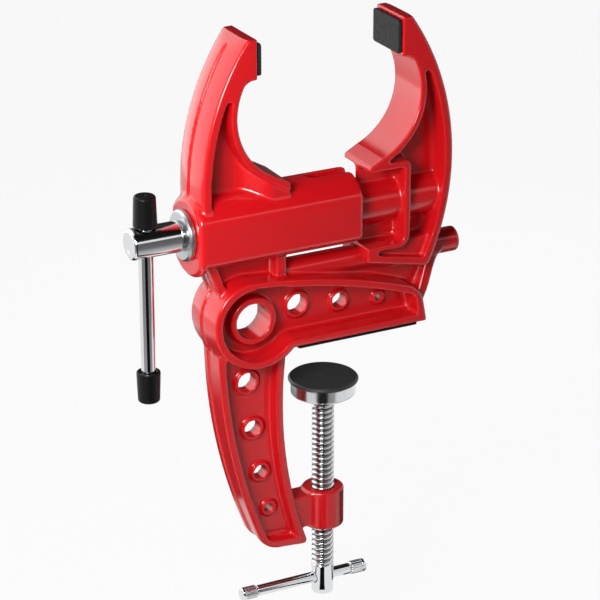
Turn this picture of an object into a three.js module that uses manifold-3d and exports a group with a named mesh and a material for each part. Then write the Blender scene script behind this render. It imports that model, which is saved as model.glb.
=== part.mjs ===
// Ski tuning vise: a cast bench frame with a fixed jaw, a jaw that slides on a screw, and a bench clamp below.
// Millimetres. X runs along the jaw spindle, Y to the back, Z up.
// The origin is on the clamp screw's axis, in the plane where the vise sits on the bench.
import * as THREE from "three";
import { ConvexGeometry } from "three/addons/geometries/ConvexGeometry.js";
import { mergeVertices } from "three/addons/utils/BufferGeometryUtils.js";
import Module from "manifold-3d";

const wasm = await Module();
wasm.setup();

// Clearances
const seatGap = 0.3; // between two pieces that sit on each other
const runGap = 0.4; // between two pieces that slide or turn in each other
const overrun = 4; // how far a cut runs past the face it opens
const root = 1; // how far one casting feature runs into its neighbour
const webInset = 3; // how far a web runs into the flange round it

// Jaws, shared by the fixed and the sliding jaw; reaches are measured from the middle of the mouth
const mouthX = -4.5;
const jawWidth = 38;
const tipReach = 54.7;
const tipTopZ = 226;
const tipFootZ = 198;
const tipRootZ = 184;
const tipBevel = 2;
const tipCrest = 6.7;
const jawFootReach = 77.2;
const jawArcRadius = 179.6;
const jawFlange = 5.8;
const jawCrown = 2.6;
const jawGroove = 2.4;
const mouthReach = 69.5;
const mouthRadius = 48.5;
const mouthZ = 172.4;
const mouthFlange = 4.6;
const mouthTopRise = 17.6;
const mouthEndDrop = 40.1;
const lipReach = 30.2;
const lipEdge = 3.4;
const lipClearance = 0.8;
const lipFillReach = 50.4;
const webThickness = 6;
const rootFillet = 3.2;
const edgeRound = 1.4;
const grooveDepth = 1;

// Jaw pads
const padThickness = 3;
const padWidth = 36;
const padHeight = 23.5;
const padTopDrop = 2.2;
const padRound = 2;

// Guide barrel and the round bar that slides in it
const spindleZ = 91.3;
const barrelRadius = 26.8;
const barrelStartX = -104.5;
const barrelEndX = 19.5;
const barrelHalfDepth = 23.3;
const barrelChinY = 15;
const barrelChinZ = 69.1;
const barrelCheekZ = 75.2;
const endPlateThickness = 7;
const endPlateZ = 88.2;
const endPlateBevel = 1.6;
const hubWall = 14.5;
const slotLength = 28.5;
const slotWidth = 9.4;
const barRadius = 15;
const barEngagement = 65.5;
const barFloor = 26;

// Left column and rib between the barrel and the bracket
const ribWidth = 25;
const columnTopX = -94.1;
const columnTopZ = 68;
const columnFootX = -81.2;
const columnFootZ = 36;
const columnFlange = 6.2;
const ribX = -35;
const ribThickness = 7.6;

// Lower guide rail and the strut under its right end
const railRadius = 9;
const railZ = 51.6;
const railEndX = 104;
const strutTopX = 89.6;
const strutToeX = 70.6;
const strutToeZ = 8.6;
const strutThickness = 8;
const strutNeckZ = 42.3;

// Bench bracket with its round end
const bracketWidth = 40;
const bracketFlange = 5.7;
const bracketEndX = 72;
const bracketEndLean = 0.18;
const bracketEndRound = 9;
const bracketLeftX = -60;
const bracketLeftZ = 54.9;
const bracketRightX = 64;
const bracketRightZ = 28.35;
const bracketArcRadius = 437.3;
const drumX = -58;
const drumZ = 25;
const drumRadius = 34.3;
const drumCrown = 1.4;
const drumGroove = 7;
const drumShoulderRadius = 29;
const floorStartX = -34;
const drumBossX = -59.2;
const drumBossZ = 23;
const drumBossRadius = 17.2;
const drumBossBore = 13;
const drumBossLength = 22.3;

// Curved arm and the threaded boss at its foot
const armWidth = 25;
const armTopZ = 10;
const armOuterTopX = -87.15;
const armOuterFootX = -52.8;
const armOuterRadius = 408.4;
const armInnerTopX = -33.1;
const armInnerFootX = -18.6;
const armInnerRadius = 325.2;
const armFlange = 5.8;
const armFootX = -51;
const armFootZ = -153.6;
const armFootLean = 0.08;
const armHeelRound = 9.5;
const armToeRound = 4;
const armChannel = 13;
const armChannelDepth = 1.2;
const throatRadius = 6;
const bossRadius = 15;
const bossTopZ = -119.3;
const bossFootZ = -148.4;
const bossRound = 1.2;
const bossFootRound = 3;
const neckWidth = 17;
const neckDrop = 1.5;
const neckRise = 3;

// Lightening holes: place, bore and wall of the ring round each
const ringWall = 3;
const ringLength = 11;
const bracketHoles = [
  { x: -23.8, z: 28.4, bore: 9.4 },
  { x: 9.1, z: 25.1, bore: 7 },
  { x: 40.9, z: 20.5, bore: 4.2 },
];
const armHoles = [
  { x: -62.7, z: -23.2, bore: 9.6 },
  { x: -58.4, z: -58.5, bore: 8 },
  { x: -52.3, z: -93.9, bore: 6.6 },
  { x: -45.8, z: -124, bore: 5.4 },
];

// Sliding jaw below its bar
const jawRibX = 58;
const jawRibThickness = 4.6;
const jawRibRound = 10;
const jawRibTopRound = 4;
const footStartX = 24.4;
const footStartZ = 53.2;
const footEndX = 70.6;
const footEndZ = 43.4;
const footFlange = 5.6;
const footHead = 8.6;
const footWall = 3.6;

// Jaw spindle
const spindleRadius = 8;
const headRadius = 10.75;
const headStartX = -146.5;
const headRound = 1.8;
const spindleEndX = 20;
const washerRadius = 18.6;
const washerThickness = 4.6;
const washerBevel = 1.4;
const bushWall = 2.8;
const collarRadius = 13;
const collarLength = 8;
const pinRadius = 2;
const nutRadius = 11;
const nutLength = 24;

// Spindle T-bar
const tBarX = -134.2;
const tBarRadius = 5;
const tBarLength = 141;
const capRadius = 8.3;
const capLength = 22;
const capTip = 3;
const capTaper = 0.5;
const capCover = 18;

// Bench clamp screw with its swivel disc
const screwRadius = 8;
const screwFootZ = -204;
const discRadius = 23;
const discThickness = 9.2;
const discTopZ = -37.2;
const discBevel = 1.2;
const discPocketRadius = 7.6;
const discFloor = 3;
const capDiscRadius = 25;
const capDiscThickness = 3.4;
const capDiscLip = 1.2;
const capDiscRound = 1.2;
const spigotRadius = 5;
const spigotNeckRadius = 3.8;
const clipThickness = 1.2;
const clipRadius = 6.6;
const clipOpeningTurn = 0.9;

// Clamp T-bar
const clampBarZ = -192;
const clampBarRadius = 4;
const clampBarLength = 100;
const clampBarOffset = 16;
const sleeveRadius = 4.8;
const sleeveLength = 12;
const sleeveWall = 1.6;
const sleeveRound = 0.8;

// Rubber strip under the bracket
const stripThickness = 1.6;
const stripStartX = -29;
const stripEndX = 64.5;

// Facets
const roundSides = 32;
const smallSides = 16;
const arcSteps = 12;
const shortArcSteps = 8;
const drumSteps = 15;

// Places worked out from the sizes above
const jawTopReach = tipReach + tipCrest;
const mouthTopZ = mouthZ + mouthTopRise;
const mouthEndZ = mouthZ - mouthEndDrop;
const padFootZ = tipTopZ - padTopDrop - padHeight;
const floorZ = stripThickness + seatGap;
const halfWeb = webThickness / 2;
const barrelFloorZ = spindleZ - barrelRadius;
const footTopZ = barrelFloorZ - seatGap - runGap;
const hubFaceX = barrelStartX + hubWall;
const barrelTopZ = spindleZ + barrelRadius;
const lipZ = barrelTopZ + lipClearance;
const lipTopZ = lipZ + lipEdge;
const mouthArcReach = mouthReach - mouthRadius;
const barStartX = barrelEndX - barEngagement;

const red = new THREE.MeshStandardMaterial({ color: 0xc8102e, roughness: 0.25, metalness: 0 });
const chrome = new THREE.MeshStandardMaterial({ color: 0xc9ccd0, roughness: 0.2, metalness: 1 });
const rubber = new THREE.MeshStandardMaterial({ color: 0x151515, roughness: 0.8, metalness: 0 });
const bronze = new THREE.MeshStandardMaterial({ color: 0xb08d57, roughness: 0.4, metalness: 1 });

// Turns a closed geometry into a solid with its faces outwards.
function solidOf(geometry) {
  const bare = geometry.index ? geometry.toNonIndexed() : geometry.clone();
  bare.deleteAttribute("normal");
  bare.deleteAttribute("uv");
  const merged = mergeVertices(bare, 1e-4);
  const make = (flip) => {
    const triVerts = new Uint32Array(merged.index.array);
    if (flip)
      for (let i = 0; i < triVerts.length; i += 3)
        [triVerts[i + 1], triVerts[i + 2]] = [triVerts[i + 2], triVerts[i + 1]];
    return new wasm.Manifold(
      new wasm.Mesh({ numProp: 3, vertProperties: merged.attributes.position.array, triVerts }),
    );
  };
  const first = make(false);
  return first.volume() > 0 ? first : make(true);
}

const join = (...solids) => solids.reduce((a, b) => a.add(b));
const cut = (body, ...tools) => tools.reduce((a, b) => a.subtract(b), body);

// Gives a solid back as a named mesh.
function piece(name, solid, material) {
  const mesh = solid.getMesh();
  const geometry = new THREE.BufferGeometry();
  geometry.setAttribute("position", new THREE.BufferAttribute(new Float32Array(mesh.vertProperties), 3));
  geometry.setIndex(new THREE.BufferAttribute(new Uint32Array(mesh.triVerts), 1));
  geometry.computeVertexNormals();
  const made = new THREE.Mesh(geometry, material);
  made.name = name;
  return made;
}

// An outline in the XZ plane, carried along Y from front to back.
function slab(shape, front, back, curveSegments = arcSteps) {
  const depth = back - front;
  const geometry = new THREE.ExtrudeGeometry(shape, { depth, bevelEnabled: false, curveSegments });
  return solidOf(geometry.rotateX(Math.PI / 2).translate(0, back, 0));
}

// An outline centred on the part's middle plane.
const plate = (shape, width) => slab(shape, -width / 2, width / 2);

const outline = (points) => new THREE.Shape(points.map(([x, z]) => new THREE.Vector2(x, z)));

// A turned solid from a profile of radius and place along its axis, standing on the Z axis.
function turned(profile, sides = roundSides) {
  const points = profile.map(([radius, along]) => new THREE.Vector2(radius, along));
  return new THREE.LatheGeometry([...points, points[0].clone()], sides).rotateX(Math.PI / 2);
}

// A plain round bar along the Z axis.
const roundBar = (radius, from, to, sides = roundSides) =>
  turned([[0, from], [radius, from], [radius, to], [0, to]], sides);

const alongX = (geometry) => geometry.rotateY(Math.PI / 2);
const alongY = (geometry) => geometry.rotateX(-Math.PI / 2);

// Places along an arc, each with the direction away from the arc's centre.
function arcPath(centreX, centreZ, radius, from, to, steps = arcSteps) {
  return Array.from({ length: steps + 1 }, (_, i) => {
    const a = from + ((to - from) * i) / steps;
    const [nx, nz] = [Math.cos(a), Math.sin(a)];
    return { x: centreX + radius * nx, z: centreZ + radius * nz, nx, nz };
  });
}

// Places along a straight line, facing the right-hand side of the way it runs.
function linePath(fromX, fromZ, toX, toZ) {
  const length = Math.hypot(toX - fromX, toZ - fromZ);
  const [nx, nz] = [(toZ - fromZ) / length, (fromX - toX) / length];
  return [{ x: fromX, z: fromZ, nx, nz }, { x: toX, z: toZ, nx, nz }];
}

// The centre of a rounding between an arc and a straight edge: the edge passes through a point and faces an angle.
// The side is 1 where the rounding lies inside the arc and -1 where it lies outside.
function roundingCentre(arc, edge, radius, side = 1) {
  const [nx, nz] = [Math.cos(edge.turn), Math.sin(edge.turn)];
  const [px, pz] = [edge.x - radius * nx - arc.x, edge.z - radius * nz - arc.z];
  const along = -px * nz + pz * nx;
  const reach = Math.sqrt((arc.radius - side * radius) ** 2 - (px * nx + pz * nz) ** 2);
  const shift = edge.way * reach - along;
  return { x: arc.x + px - shift * nz, z: arc.z + pz + shift * nx };
}

const turnTo = (from, to) => Math.atan2(to.z - from.z, to.x - from.x);

// The circle of a given radius through two points, its centre on the left of the way from the first to the second.
function arcThrough([fromX, fromZ], [toX, toZ], radius) {
  const [dx, dz] = [toX - fromX, toZ - fromZ];
  const rise = Math.sqrt((radius / Math.hypot(dx, dz)) ** 2 - 1 / 4);
  return { x: (fromX + toX) / 2 - dz * rise, z: (fromZ + toZ) / 2 + dx * rise, radius };
}

// The long arcs of the castings: a jaw's outer face in reaches from the mouth's middle, the bracket's top, the arm's sides.
const jawArc = arcThrough([jawFootReach, footEndZ], [jawTopReach, tipTopZ], jawArcRadius);
const bracketArc = arcThrough([bracketRightX, bracketRightZ], [bracketLeftX, bracketLeftZ], bracketArcRadius);
const armOuterArc = arcThrough([armOuterTopX, armTopZ], [armOuterFootX, armFootZ], armOuterRadius);
const armInnerArc = arcThrough([armInnerTopX, armTopZ], [armInnerFootX, armFootZ], armInnerRadius);

// A flange's cross-section as [outwards, across, relief]: relief is the crown and the channel, which can fade out.
function flangeSection({ width, thickness, crown = 0, channel = 0, depth = 0, fillet = rootFillet }) {
  const half = width / 2;
  const crest = (y) => crown * (1 - (y / half) ** 2);
  const side = [[-edgeRound, half, 0], [-edgeRound * 0.3, half - edgeRound * 0.3, 0]];
  side.push([0, half - edgeRound, crest(half - edgeRound)]);
  if (crown) side.push([0, half * 0.6, crest(half * 0.6)]);
  if (channel) {
    const lip = channel / 2;
    side.push([0, lip, crest(lip)], [0, lip - depth * 0.7, crest(lip) - depth]);
  }
  const mirrored = (points) => points.map(([n, y, relief]) => [n, -y, relief]).reverse();
  const rootSide = [
    [-thickness - fillet, halfWeb, 0],
    [-thickness - fillet * 0.3, halfWeb + fillet * 0.3, 0],
    [-thickness, halfWeb + fillet, 0],
    [-thickness, half, 0],
  ];
  return [...side, ...mirrored(side), ...mirrored(rootSide), ...rootSide];
}

// Carries a cross-section along a path in the XZ plane and closes both ends. A path point's lift scales the relief.
function sweep(path, section) {
  const count = section.length;
  const offset = (p, n, relief) => n + relief * (p.lift ?? 1);
  const at = path.flatMap((p) =>
    section.map(([n, y, relief]) => [p.x + p.nx * offset(p, n, relief), y, p.z + p.nz * offset(p, n, relief)]),
  );
  const capAt = (p) => {
    const ring = section.map(([n, y, relief]) => new THREE.Vector2(offset(p, n, relief), y));
    return THREE.ShapeUtils.triangulateShape(ring, []);
  };
  const last = (path.length - 1) * count;
  const faces = [...capAt(path[0]), ...capAt(path[path.length - 1]).map(([a, b, c]) => [c + last, b + last, a + last])];
  for (let i = 0; i < path.length - 1; i++)
    for (let j = 0; j < count; j++) {
      const [a, b] = [i * count + j, i * count + ((j + 1) % count)];
      faces.push([a, b, a + count], [b, b + count, a + count]);
    }
  const geometry = new THREE.BufferGeometry();
  geometry.setAttribute("position", new THREE.Float32BufferAttribute(at.flat(), 3));
  geometry.setIndex(faces.flat());
  return geometry;
}

// The reach of the jaw's outer face and of the mouth at a height.
const outerReach = (z) => jawArc.x + Math.sqrt(jawArc.radius ** 2 - (z - jawArc.z) ** 2);
const mouthArcAt = (z) => mouthArcReach + Math.sqrt(mouthRadius ** 2 - (z - mouthZ) ** 2);

// The C-shaped half shared by both jaws, in reaches from the middle of the mouth, down to a given height.
function jawHalf(footZ) {
  const angle = (z, centre, radius) => Math.asin((z - centre) / radius);
  const top = angle(tipTopZ, jawArc.z, jawArc.radius);
  const foot = angle(footZ, jawArc.z, jawArc.radius);
  const outer = sweep(
    arcPath(jawArc.x, jawArc.z, jawArc.radius, foot, top),
    flangeSection({
      width: jawWidth, thickness: jawFlange, crown: jawCrown, channel: jawGroove, depth: grooveDepth,
    }),
  );
  const mouthLine = [
    ...arcPath(mouthArcReach, mouthZ, mouthRadius,
      angle(mouthTopZ, mouthZ, mouthRadius), angle(mouthEndZ, mouthZ, mouthRadius), shortArcSteps),
  ].map((p) => ({ ...p, nx: -p.nx, nz: -p.nz }));
  const last = mouthLine[mouthLine.length - 1];
  mouthLine.push({ ...last, x: lipReach, z: lipTopZ });
  const mouth = sweep(mouthLine, flangeSection({ width: jawWidth, thickness: mouthFlange }));
  const tip = new THREE.Shape();
  tip.moveTo(tipReach, tipFootZ);
  tip.lineTo(tipReach, tipTopZ);
  tip.lineTo(outerReach(tipTopZ) - root, tipTopZ);
  tip.lineTo(outerReach(tipRootZ) - root, tipRootZ);
  tip.lineTo(mouthArcAt(tipRootZ), tipRootZ);
  tip.lineTo(mouthArcAt(mouthTopZ), mouthTopZ);
  tip.quadraticCurveTo(mouthArcAt(tipFootZ), tipFootZ, mouthArcReach + mouthRadius * 0.8, tipFootZ);
  const trim = outline([
    [tipReach, tipFootZ], [tipReach, tipTopZ], [outerReach(tipTopZ) - tipBevel, tipTopZ],
    [outerReach(tipTopZ) + overrun, tipTopZ - tipBevel - overrun], [outerReach(tipRootZ), tipTopZ + overrun],
    [0, tipTopZ + overrun], [0, tipFootZ],
  ]);
  const lip = outline([
    [lipReach, lipZ], [lipFillReach, lipZ], [lipFillReach, mouthEndZ - mouthFlange / 2], [lipReach, lipTopZ],
  ]);
  return {
    shape: [outer, mouth, extruded(tip, jawWidth - edgeRound), extruded(lip, jawWidth), jawWeb(footZ)],
    trim: extruded(trim, jawWidth + overrun),
  };
}

// A centred extrusion that is still a geometry, so that it can be mirrored.
function extruded(shape, width) {
  const geometry = new THREE.ExtrudeGeometry(shape, {
    depth: width, bevelEnabled: false, curveSegments: shortArcSteps,
  });
  return geometry.rotateX(Math.PI / 2).translate(0, width / 2, 0);
}

// The web between a jaw's two flanges, down to a given height, with its inner edge at the lip.
function jawWeb(footZ) {
  const shape = new THREE.Shape();
  const steps = arcSteps;
  const halfFlange = mouthFlange / 2;
  shape.moveTo(lipReach + root, footZ);
  shape.lineTo(lipReach + root, lipZ + root);
  for (const p of arcPath(mouthArcReach, mouthZ, mouthRadius + halfFlange,
    Math.asin((mouthEndZ - mouthZ) / mouthRadius), Math.asin((mouthTopZ - mouthZ) / mouthRadius), shortArcSteps))
    shape.lineTo(p.x, p.z);
  const arc = (z) => Math.asin((z - jawArc.z) / jawArc.radius);
  for (const p of arcPath(jawArc.x, jawArc.z, jawArc.radius - jawFlange / 2, arc(mouthTopZ), arc(footZ), steps))
    shape.lineTo(p.x, p.z);
  return extruded(shape, webThickness);
}

// Places a half in the part: the sliding jaw on the right, or mirrored as the fixed jaw on the left.
function placed(geometry, side) {
  const copy = geometry.clone();
  copy.scale(side, 1, 1);
  return solidOf(copy.translate(mouthX, 0, 0));
}

// The guide barrel: a round tube with flattened sides, closed by the hub wall at the left and deeper at that end.
function barrel() {
  const length = barrelEndX - barrelStartX;
  const round = solidOf(alongX(roundBar(barrelRadius, 0, length)).translate(barrelStartX, 0, spindleZ));
  const flat = new THREE.ExtrudeGeometry(
    outline([
      [-barrelHalfDepth, barrelCheekZ - spindleZ], [-barrelChinY, barrelChinZ - spindleZ],
      [barrelChinY, barrelChinZ - spindleZ], [barrelHalfDepth, barrelCheekZ - spindleZ],
      [barrelHalfDepth, 0], [-barrelHalfDepth, 0],
    ]),
    { depth: length, bevelEnabled: false },
  );
  flat.rotateX(Math.PI / 2).rotateZ(Math.PI / 2).translate(barrelStartX, 0, spindleZ);
  const endPlate = alongX(turned([
    [0, 0], [barrelRadius - endPlateBevel, 0], [barrelRadius, endPlateBevel], [barrelRadius, endPlateThickness],
    [0, endPlateThickness],
  ]));
  const keep = new THREE.BoxGeometry(length * 2, barrelHalfDepth * 2, spindleZ * 4);
  return join(round, solidOf(flat), solidOf(endPlate.translate(barrelStartX, 0, endPlateZ))).intersect(solidOf(keep));
}

// What is taken out of the barrel: the bar's bore, the hub's bore, the washer's spot face and the jaw web's slots.
function barrelCuts() {
  const bore = alongX(roundBar(barRadius + runGap, hubFaceX, barrelEndX + overrun)).translate(0, 0, spindleZ);
  const hub = alongX(roundBar(spindleRadius + runGap + bushWall + seatGap, barrelStartX - overrun, barrelEndX));
  const slot = new THREE.BoxGeometry(slotLength + overrun, slotWidth, barrelRadius * 2 + overrun * 2);
  slot.translate(barrelEndX + overrun - (slotLength + overrun) / 2, 0, spindleZ);
  const slotEnd = roundBar(slotWidth / 2, -barrelRadius - overrun, barrelRadius + overrun, smallSides);
  slotEnd.translate(barrelEndX - slotLength, 0, spindleZ);
  const spotFace = alongX(roundBar(washerRadius + runGap, -washerThickness * 2, 0));
  spotFace.translate(barrelStartX, 0, spindleZ);
  return [bore, hub.translate(0, 0, spindleZ), spotFace, slot, slotEnd].map(solidOf);
}

const channelled = { width: armWidth, channel: armChannel, depth: armChannelDepth };

// The column, rib and rail between the barrel and the bench bracket.
function lowerGuide() {
  const column = sweep(
    linePath(columnFootX, columnFootZ, columnTopX, columnTopZ).map((p) => ({ ...p, nx: -p.nx, nz: -p.nz })),
    flangeSection({ ...channelled, width: ribWidth, thickness: columnFlange }),
  );
  const rib = outline([
    [ribX, bracketTopAt(ribX) - root], [ribX, spindleZ - barRadius - overrun],
    [ribX - ribThickness, spindleZ - barRadius - overrun], [ribX - ribThickness, bracketTopAt(ribX) - root],
  ]);
  const web = outline([
    [columnFootX + root, columnFootZ + root], [columnTopX + columnFlange, spindleZ - barRadius - overrun],
    [ribX - root, spindleZ - barRadius - overrun], [ribX - root, railZ],
    [strutTopX - strutThickness, railZ], [bracketEndX - bracketEndRound, bracketTopAt(bracketEndX) - root],
    [ribX, bracketTopAt(bracketEndX) - root],
  ]);
  const rail = alongX(roundBar(railRadius, ribX - root, railEndX, roundSides / 2)).translate(0, 0, railZ);
  return join(solidOf(column), plate(rib, ribWidth), plate(web, webThickness), solidOf(rail), strut());
}

const bracketTopAt = (x) => bracketArc.z + Math.sqrt(bracketArc.radius ** 2 - (x - bracketArc.x) ** 2);

// The strut under the rail's end: as narrow as the rail where the jaw's foot passes, wider at its own foot.
function strut() {
  const slope = (strutTopX - strutToeX) / (railZ - strutToeZ);
  const faceX = (z) => strutToeX + (z - strutToeZ) * slope;
  const narrow = railRadius - seatGap;
  const level = (x, half, z) => [new THREE.Vector3(x, -half, z), new THREE.Vector3(x, half, z)];
  const neck = [
    ...level(faceX(strutNeckZ), narrow, strutNeckZ), ...level(faceX(strutNeckZ) - strutThickness, narrow, strutNeckZ),
  ];
  const upper = new ConvexGeometry([
    ...level(strutTopX, narrow, railZ), ...level(strutTopX - strutThickness, narrow, railZ), ...neck,
  ]);
  const heelX = bracketEndX - bracketEndRound;
  const lower = new ConvexGeometry([
    ...neck, ...level(strutToeX, ribWidth / 2, strutToeZ), ...level(strutToeX - overrun / 2, ribWidth / 2, strutToeZ),
    ...level(heelX, ribWidth / 2, bracketTopAt(heelX) - bracketFlange / 2),
  ]);
  return join(solidOf(upper), solidOf(lower));
}

// The bench bracket: its flange runs up its right end, back along its arched top and round the drum at its left.
function bracket() {
  const section = { width: bracketWidth, thickness: bracketFlange };
  const arc = bracketArc;
  const edge = { x: bracketEndX, z: floorZ, turn: bracketEndLean, way: 1 };
  const corner = roundingCentre(arc, edge, bracketEndRound);
  const cornerTurn = turnTo(arc, corner);
  const crown = drumShoulder(arc);
  const crownTurn = turnTo(arc, crown);
  const drumTurn = turnTo({ x: drumX, z: drumZ }, crown);
  const endTurn = Math.PI * 2 + Math.asin((floorZ - drumZ) / drumRadius);
  const end = arcPath(corner.x, corner.z, bracketEndRound, bracketEndLean, cornerTurn, shortArcSteps / 2);
  const top = arcPath(arc.x, arc.z, arc.radius, cornerTurn, crownTurn, shortArcSteps);
  const shoulder = arcPath(crown.x, crown.z, drumShoulderRadius, crownTurn, drumTurn, shortArcSteps);
  const drum = arcPath(drumX, drumZ, drumRadius, drumTurn, endTurn, drumSteps);
  const flat = [...end, ...top.slice(1)].map((p) => ({ ...p, lift: 0 }));
  const rising = shoulder.slice(1).map((p, i) => ({ ...p, lift: Math.min(1, (i * 2) / shortArcSteps) }));
  const foot = { x: bracketEndX - root * bracketEndLean, z: floorZ + root, nx: 1, nz: 0, lift: 0 };
  const line = [foot, ...flat, ...rising, ...drum.slice(1)];
  const rim = sweep(line, flangeSection({ ...section, crown: drumCrown, channel: drumGroove, depth: grooveDepth }));
  const floor = sweep(
    linePath(bracketEndX - root, floorZ, floorStartX, floorZ).map((p) => ({ ...p, nx: 0, nz: -1 })),
    flangeSection(section),
  );
  const web = [[bracketEndX - bracketFlange, floorZ + root]];
  web.push(...line.slice(1).map((p) => [p.x - p.nx * webInset, p.z - p.nz * webInset]));
  return join(solidOf(rim), solidOf(floor), plate(outline(web), webThickness));
}

// The centre of the rounding that carries the arched top down into the drum's left side.
function drumShoulder(arc) {
  const [fromArc, fromDrum] = [arc.radius - drumShoulderRadius, drumRadius - drumShoulderRadius];
  const [dx, dz] = [drumX - arc.x, drumZ - arc.z];
  const span = Math.hypot(dx, dz);
  const along = (fromArc ** 2 - fromDrum ** 2 + span ** 2) / (2 * span);
  const across = Math.sqrt(fromArc ** 2 - along ** 2);
  return { x: arc.x + (dx * along - dz * across) / span, z: arc.z + (dz * along + dx * across) / span };
}

// The curved arm below the drum: one flange runs down its outside, round its foot and up its inside.
function arm() {
  const turnAt = (z, arc) => Math.PI - Math.asin((z - arc.z) / arc.radius);
  const [outerArc, innerArc] = [armOuterArc, armInnerArc];
  const edge = { x: armFootX, z: armFootZ, turn: Math.PI * 1.5 - armFootLean, way: -1 };
  const heel = roundingCentre(outerArc, edge, armHeelRound);
  const toe = roundingCentre(innerArc, edge, armToeRound, -1);
  const heelTurn = turnTo(outerArc, heel) + Math.PI * 2;
  const toeTurn = turnTo(innerArc, toe) + Math.PI * 2;
  const topTurn = turnAt(drumZ - drumRadius / 2, outerArc);
  const throatTurn = turnAt(drumZ - drumRadius + bracketFlange / 2, innerArc);
  const facingIn = (p) => ({ ...p, nx: -p.nx, nz: -p.nz });
  const cornerRoom = (armFlange + rootFillet * 2) / armInnerRadius;
  const corner = mitre(toe, armToeRound, edge.turn, toeTurn - Math.PI);
  const line = [
    ...arcPath(outerArc.x, outerArc.z, outerArc.radius, topTurn, heelTurn),
    ...arcPath(heel.x, heel.z, armHeelRound, heelTurn, edge.turn, shortArcSteps / 2).slice(1),
    corner,
    ...arcPath(innerArc.x, innerArc.z, innerArc.radius, toeTurn - cornerRoom, throatTurn).map(facingIn),
  ];
  const flange = sweep(line, flangeSection({ ...channelled, thickness: armFlange }));
  const web = outline([...line.map((p) => [p.x - p.nx * webInset, p.z - p.nz * webInset]), [drumX, drumZ]]);
  const body = join(solidOf(flange), plate(web, webThickness), throat(line[line.length - 1]));
  return cut(body, cornerTrim(toe, armToeRound, corner, armWidth));
}

// A corner point outside a rounding, with the direction that keeps a flange's thickness round it.
function mitre(centre, radius, firstTurn, secondTurn) {
  const [x, z] = [Math.cos(firstTurn) + Math.cos(secondTurn), Math.sin(firstTurn) + Math.sin(secondTurn)];
  const [nx, nz] = [(2 * x) / (x * x + z * z), (2 * z) / (x * x + z * z)];
  return { x: centre.x + radius * nx, z: centre.z + radius * nz, nx, nz };
}

// What is cut off a square corner to round it.
function cornerTrim(centre, radius, corner, width) {
  const reach = 1 + overrun / radius;
  const [dx, dz] = [(corner.x - centre.x) * reach, (corner.z - centre.z) * reach];
  const [mx, mz] = [(dx - dz) / 2, (dz + dx) / 2];
  const block = outline([
    [centre.x, centre.z], [centre.x + dx - mx, centre.z + dz - mz], [centre.x + dx, centre.z + dz],
    [centre.x + mx, centre.z + mz],
  ]);
  const round = alongY(roundBar(radius, -width, width, smallSides)).translate(centre.x, 0, centre.z);
  return cut(plate(block, width + overrun), solidOf(round));
}

// The fillet where the arm's inner face turns into the bracket's underside.
function throat(corner) {
  const shape = new THREE.Shape();
  const x = corner.x;
  shape.moveTo(x - webInset, floorZ + root);
  shape.lineTo(x - webInset, floorZ - throatRadius);
  shape.absarc(x + throatRadius, floorZ - throatRadius, throatRadius, Math.PI, Math.PI / 2, true);
  shape.lineTo(x + throatRadius, floorZ + root);
  return plate(shape, armWidth);
}

// The threaded boss and the neck that carries it from the arm.
function boss() {
  const profile = [
    [0, bossFootZ], [bossRadius - bossFootRound, bossFootZ], [bossRadius - bossRound, bossFootZ + bossRound],
    [bossRadius, bossFootZ + bossFootRound],
    [bossRadius, bossTopZ - bossRound], [bossRadius - bossRound, bossTopZ], [0, bossTopZ],
  ];
  const armFaceX = armInnerArc.x - Math.sqrt(armInnerArc.radius ** 2 - (bossTopZ - armInnerArc.z) ** 2);
  const neck = outline([
    [0, bossTopZ - neckDrop], [0, bossFootZ + neckRise],
    [armFaceX + throatRadius / 2, bossFootZ + neckRise], [armFaceX - webInset, bossTopZ - neckDrop],
  ]);
  return join(solidOf(turned(profile)), plate(neck, neckWidth));
}

// A raised ring round a hole through the web, and the hole itself.
function ringAt({ x, z, bore }, wall = ringWall, length = ringLength, sides = smallSides) {
  const place = (geometry) => solidOf(alongY(geometry).translate(x, 0, z));
  const half = length / 2;
  return {
    wall: place(roundBar(bore / 2 + wall, -half, half, sides)),
    hole: place(roundBar(bore / 2, -half - overrun, half + overrun, sides)),
  };
}

function frameCasting() {
  const half = jawHalf(spindleZ);
  const head = cut(join(...half.shape.map((g) => placed(g, -1))), placed(half.trim, -1));
  const drumBoss = ringAt(
    { x: drumBossX, z: drumBossZ, bore: drumBossBore * 2 }, drumBossRadius - drumBossBore, drumBossLength, roundSides);
  const rings = [drumBoss, ...[...bracketHoles, ...armHoles].map((hole) => ringAt(hole))];
  const body = join(head, barrel(), lowerGuide(), bracket(), arm(), boss(), ...rings.map((r) => r.wall));
  const thread = solidOf(roundBar(screwRadius + seatGap, bossFootZ - overrun, bossTopZ + overrun));
  return cut(body, ...barrelCuts(), thread, ...rings.map((r) => r.hole));
}

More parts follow.
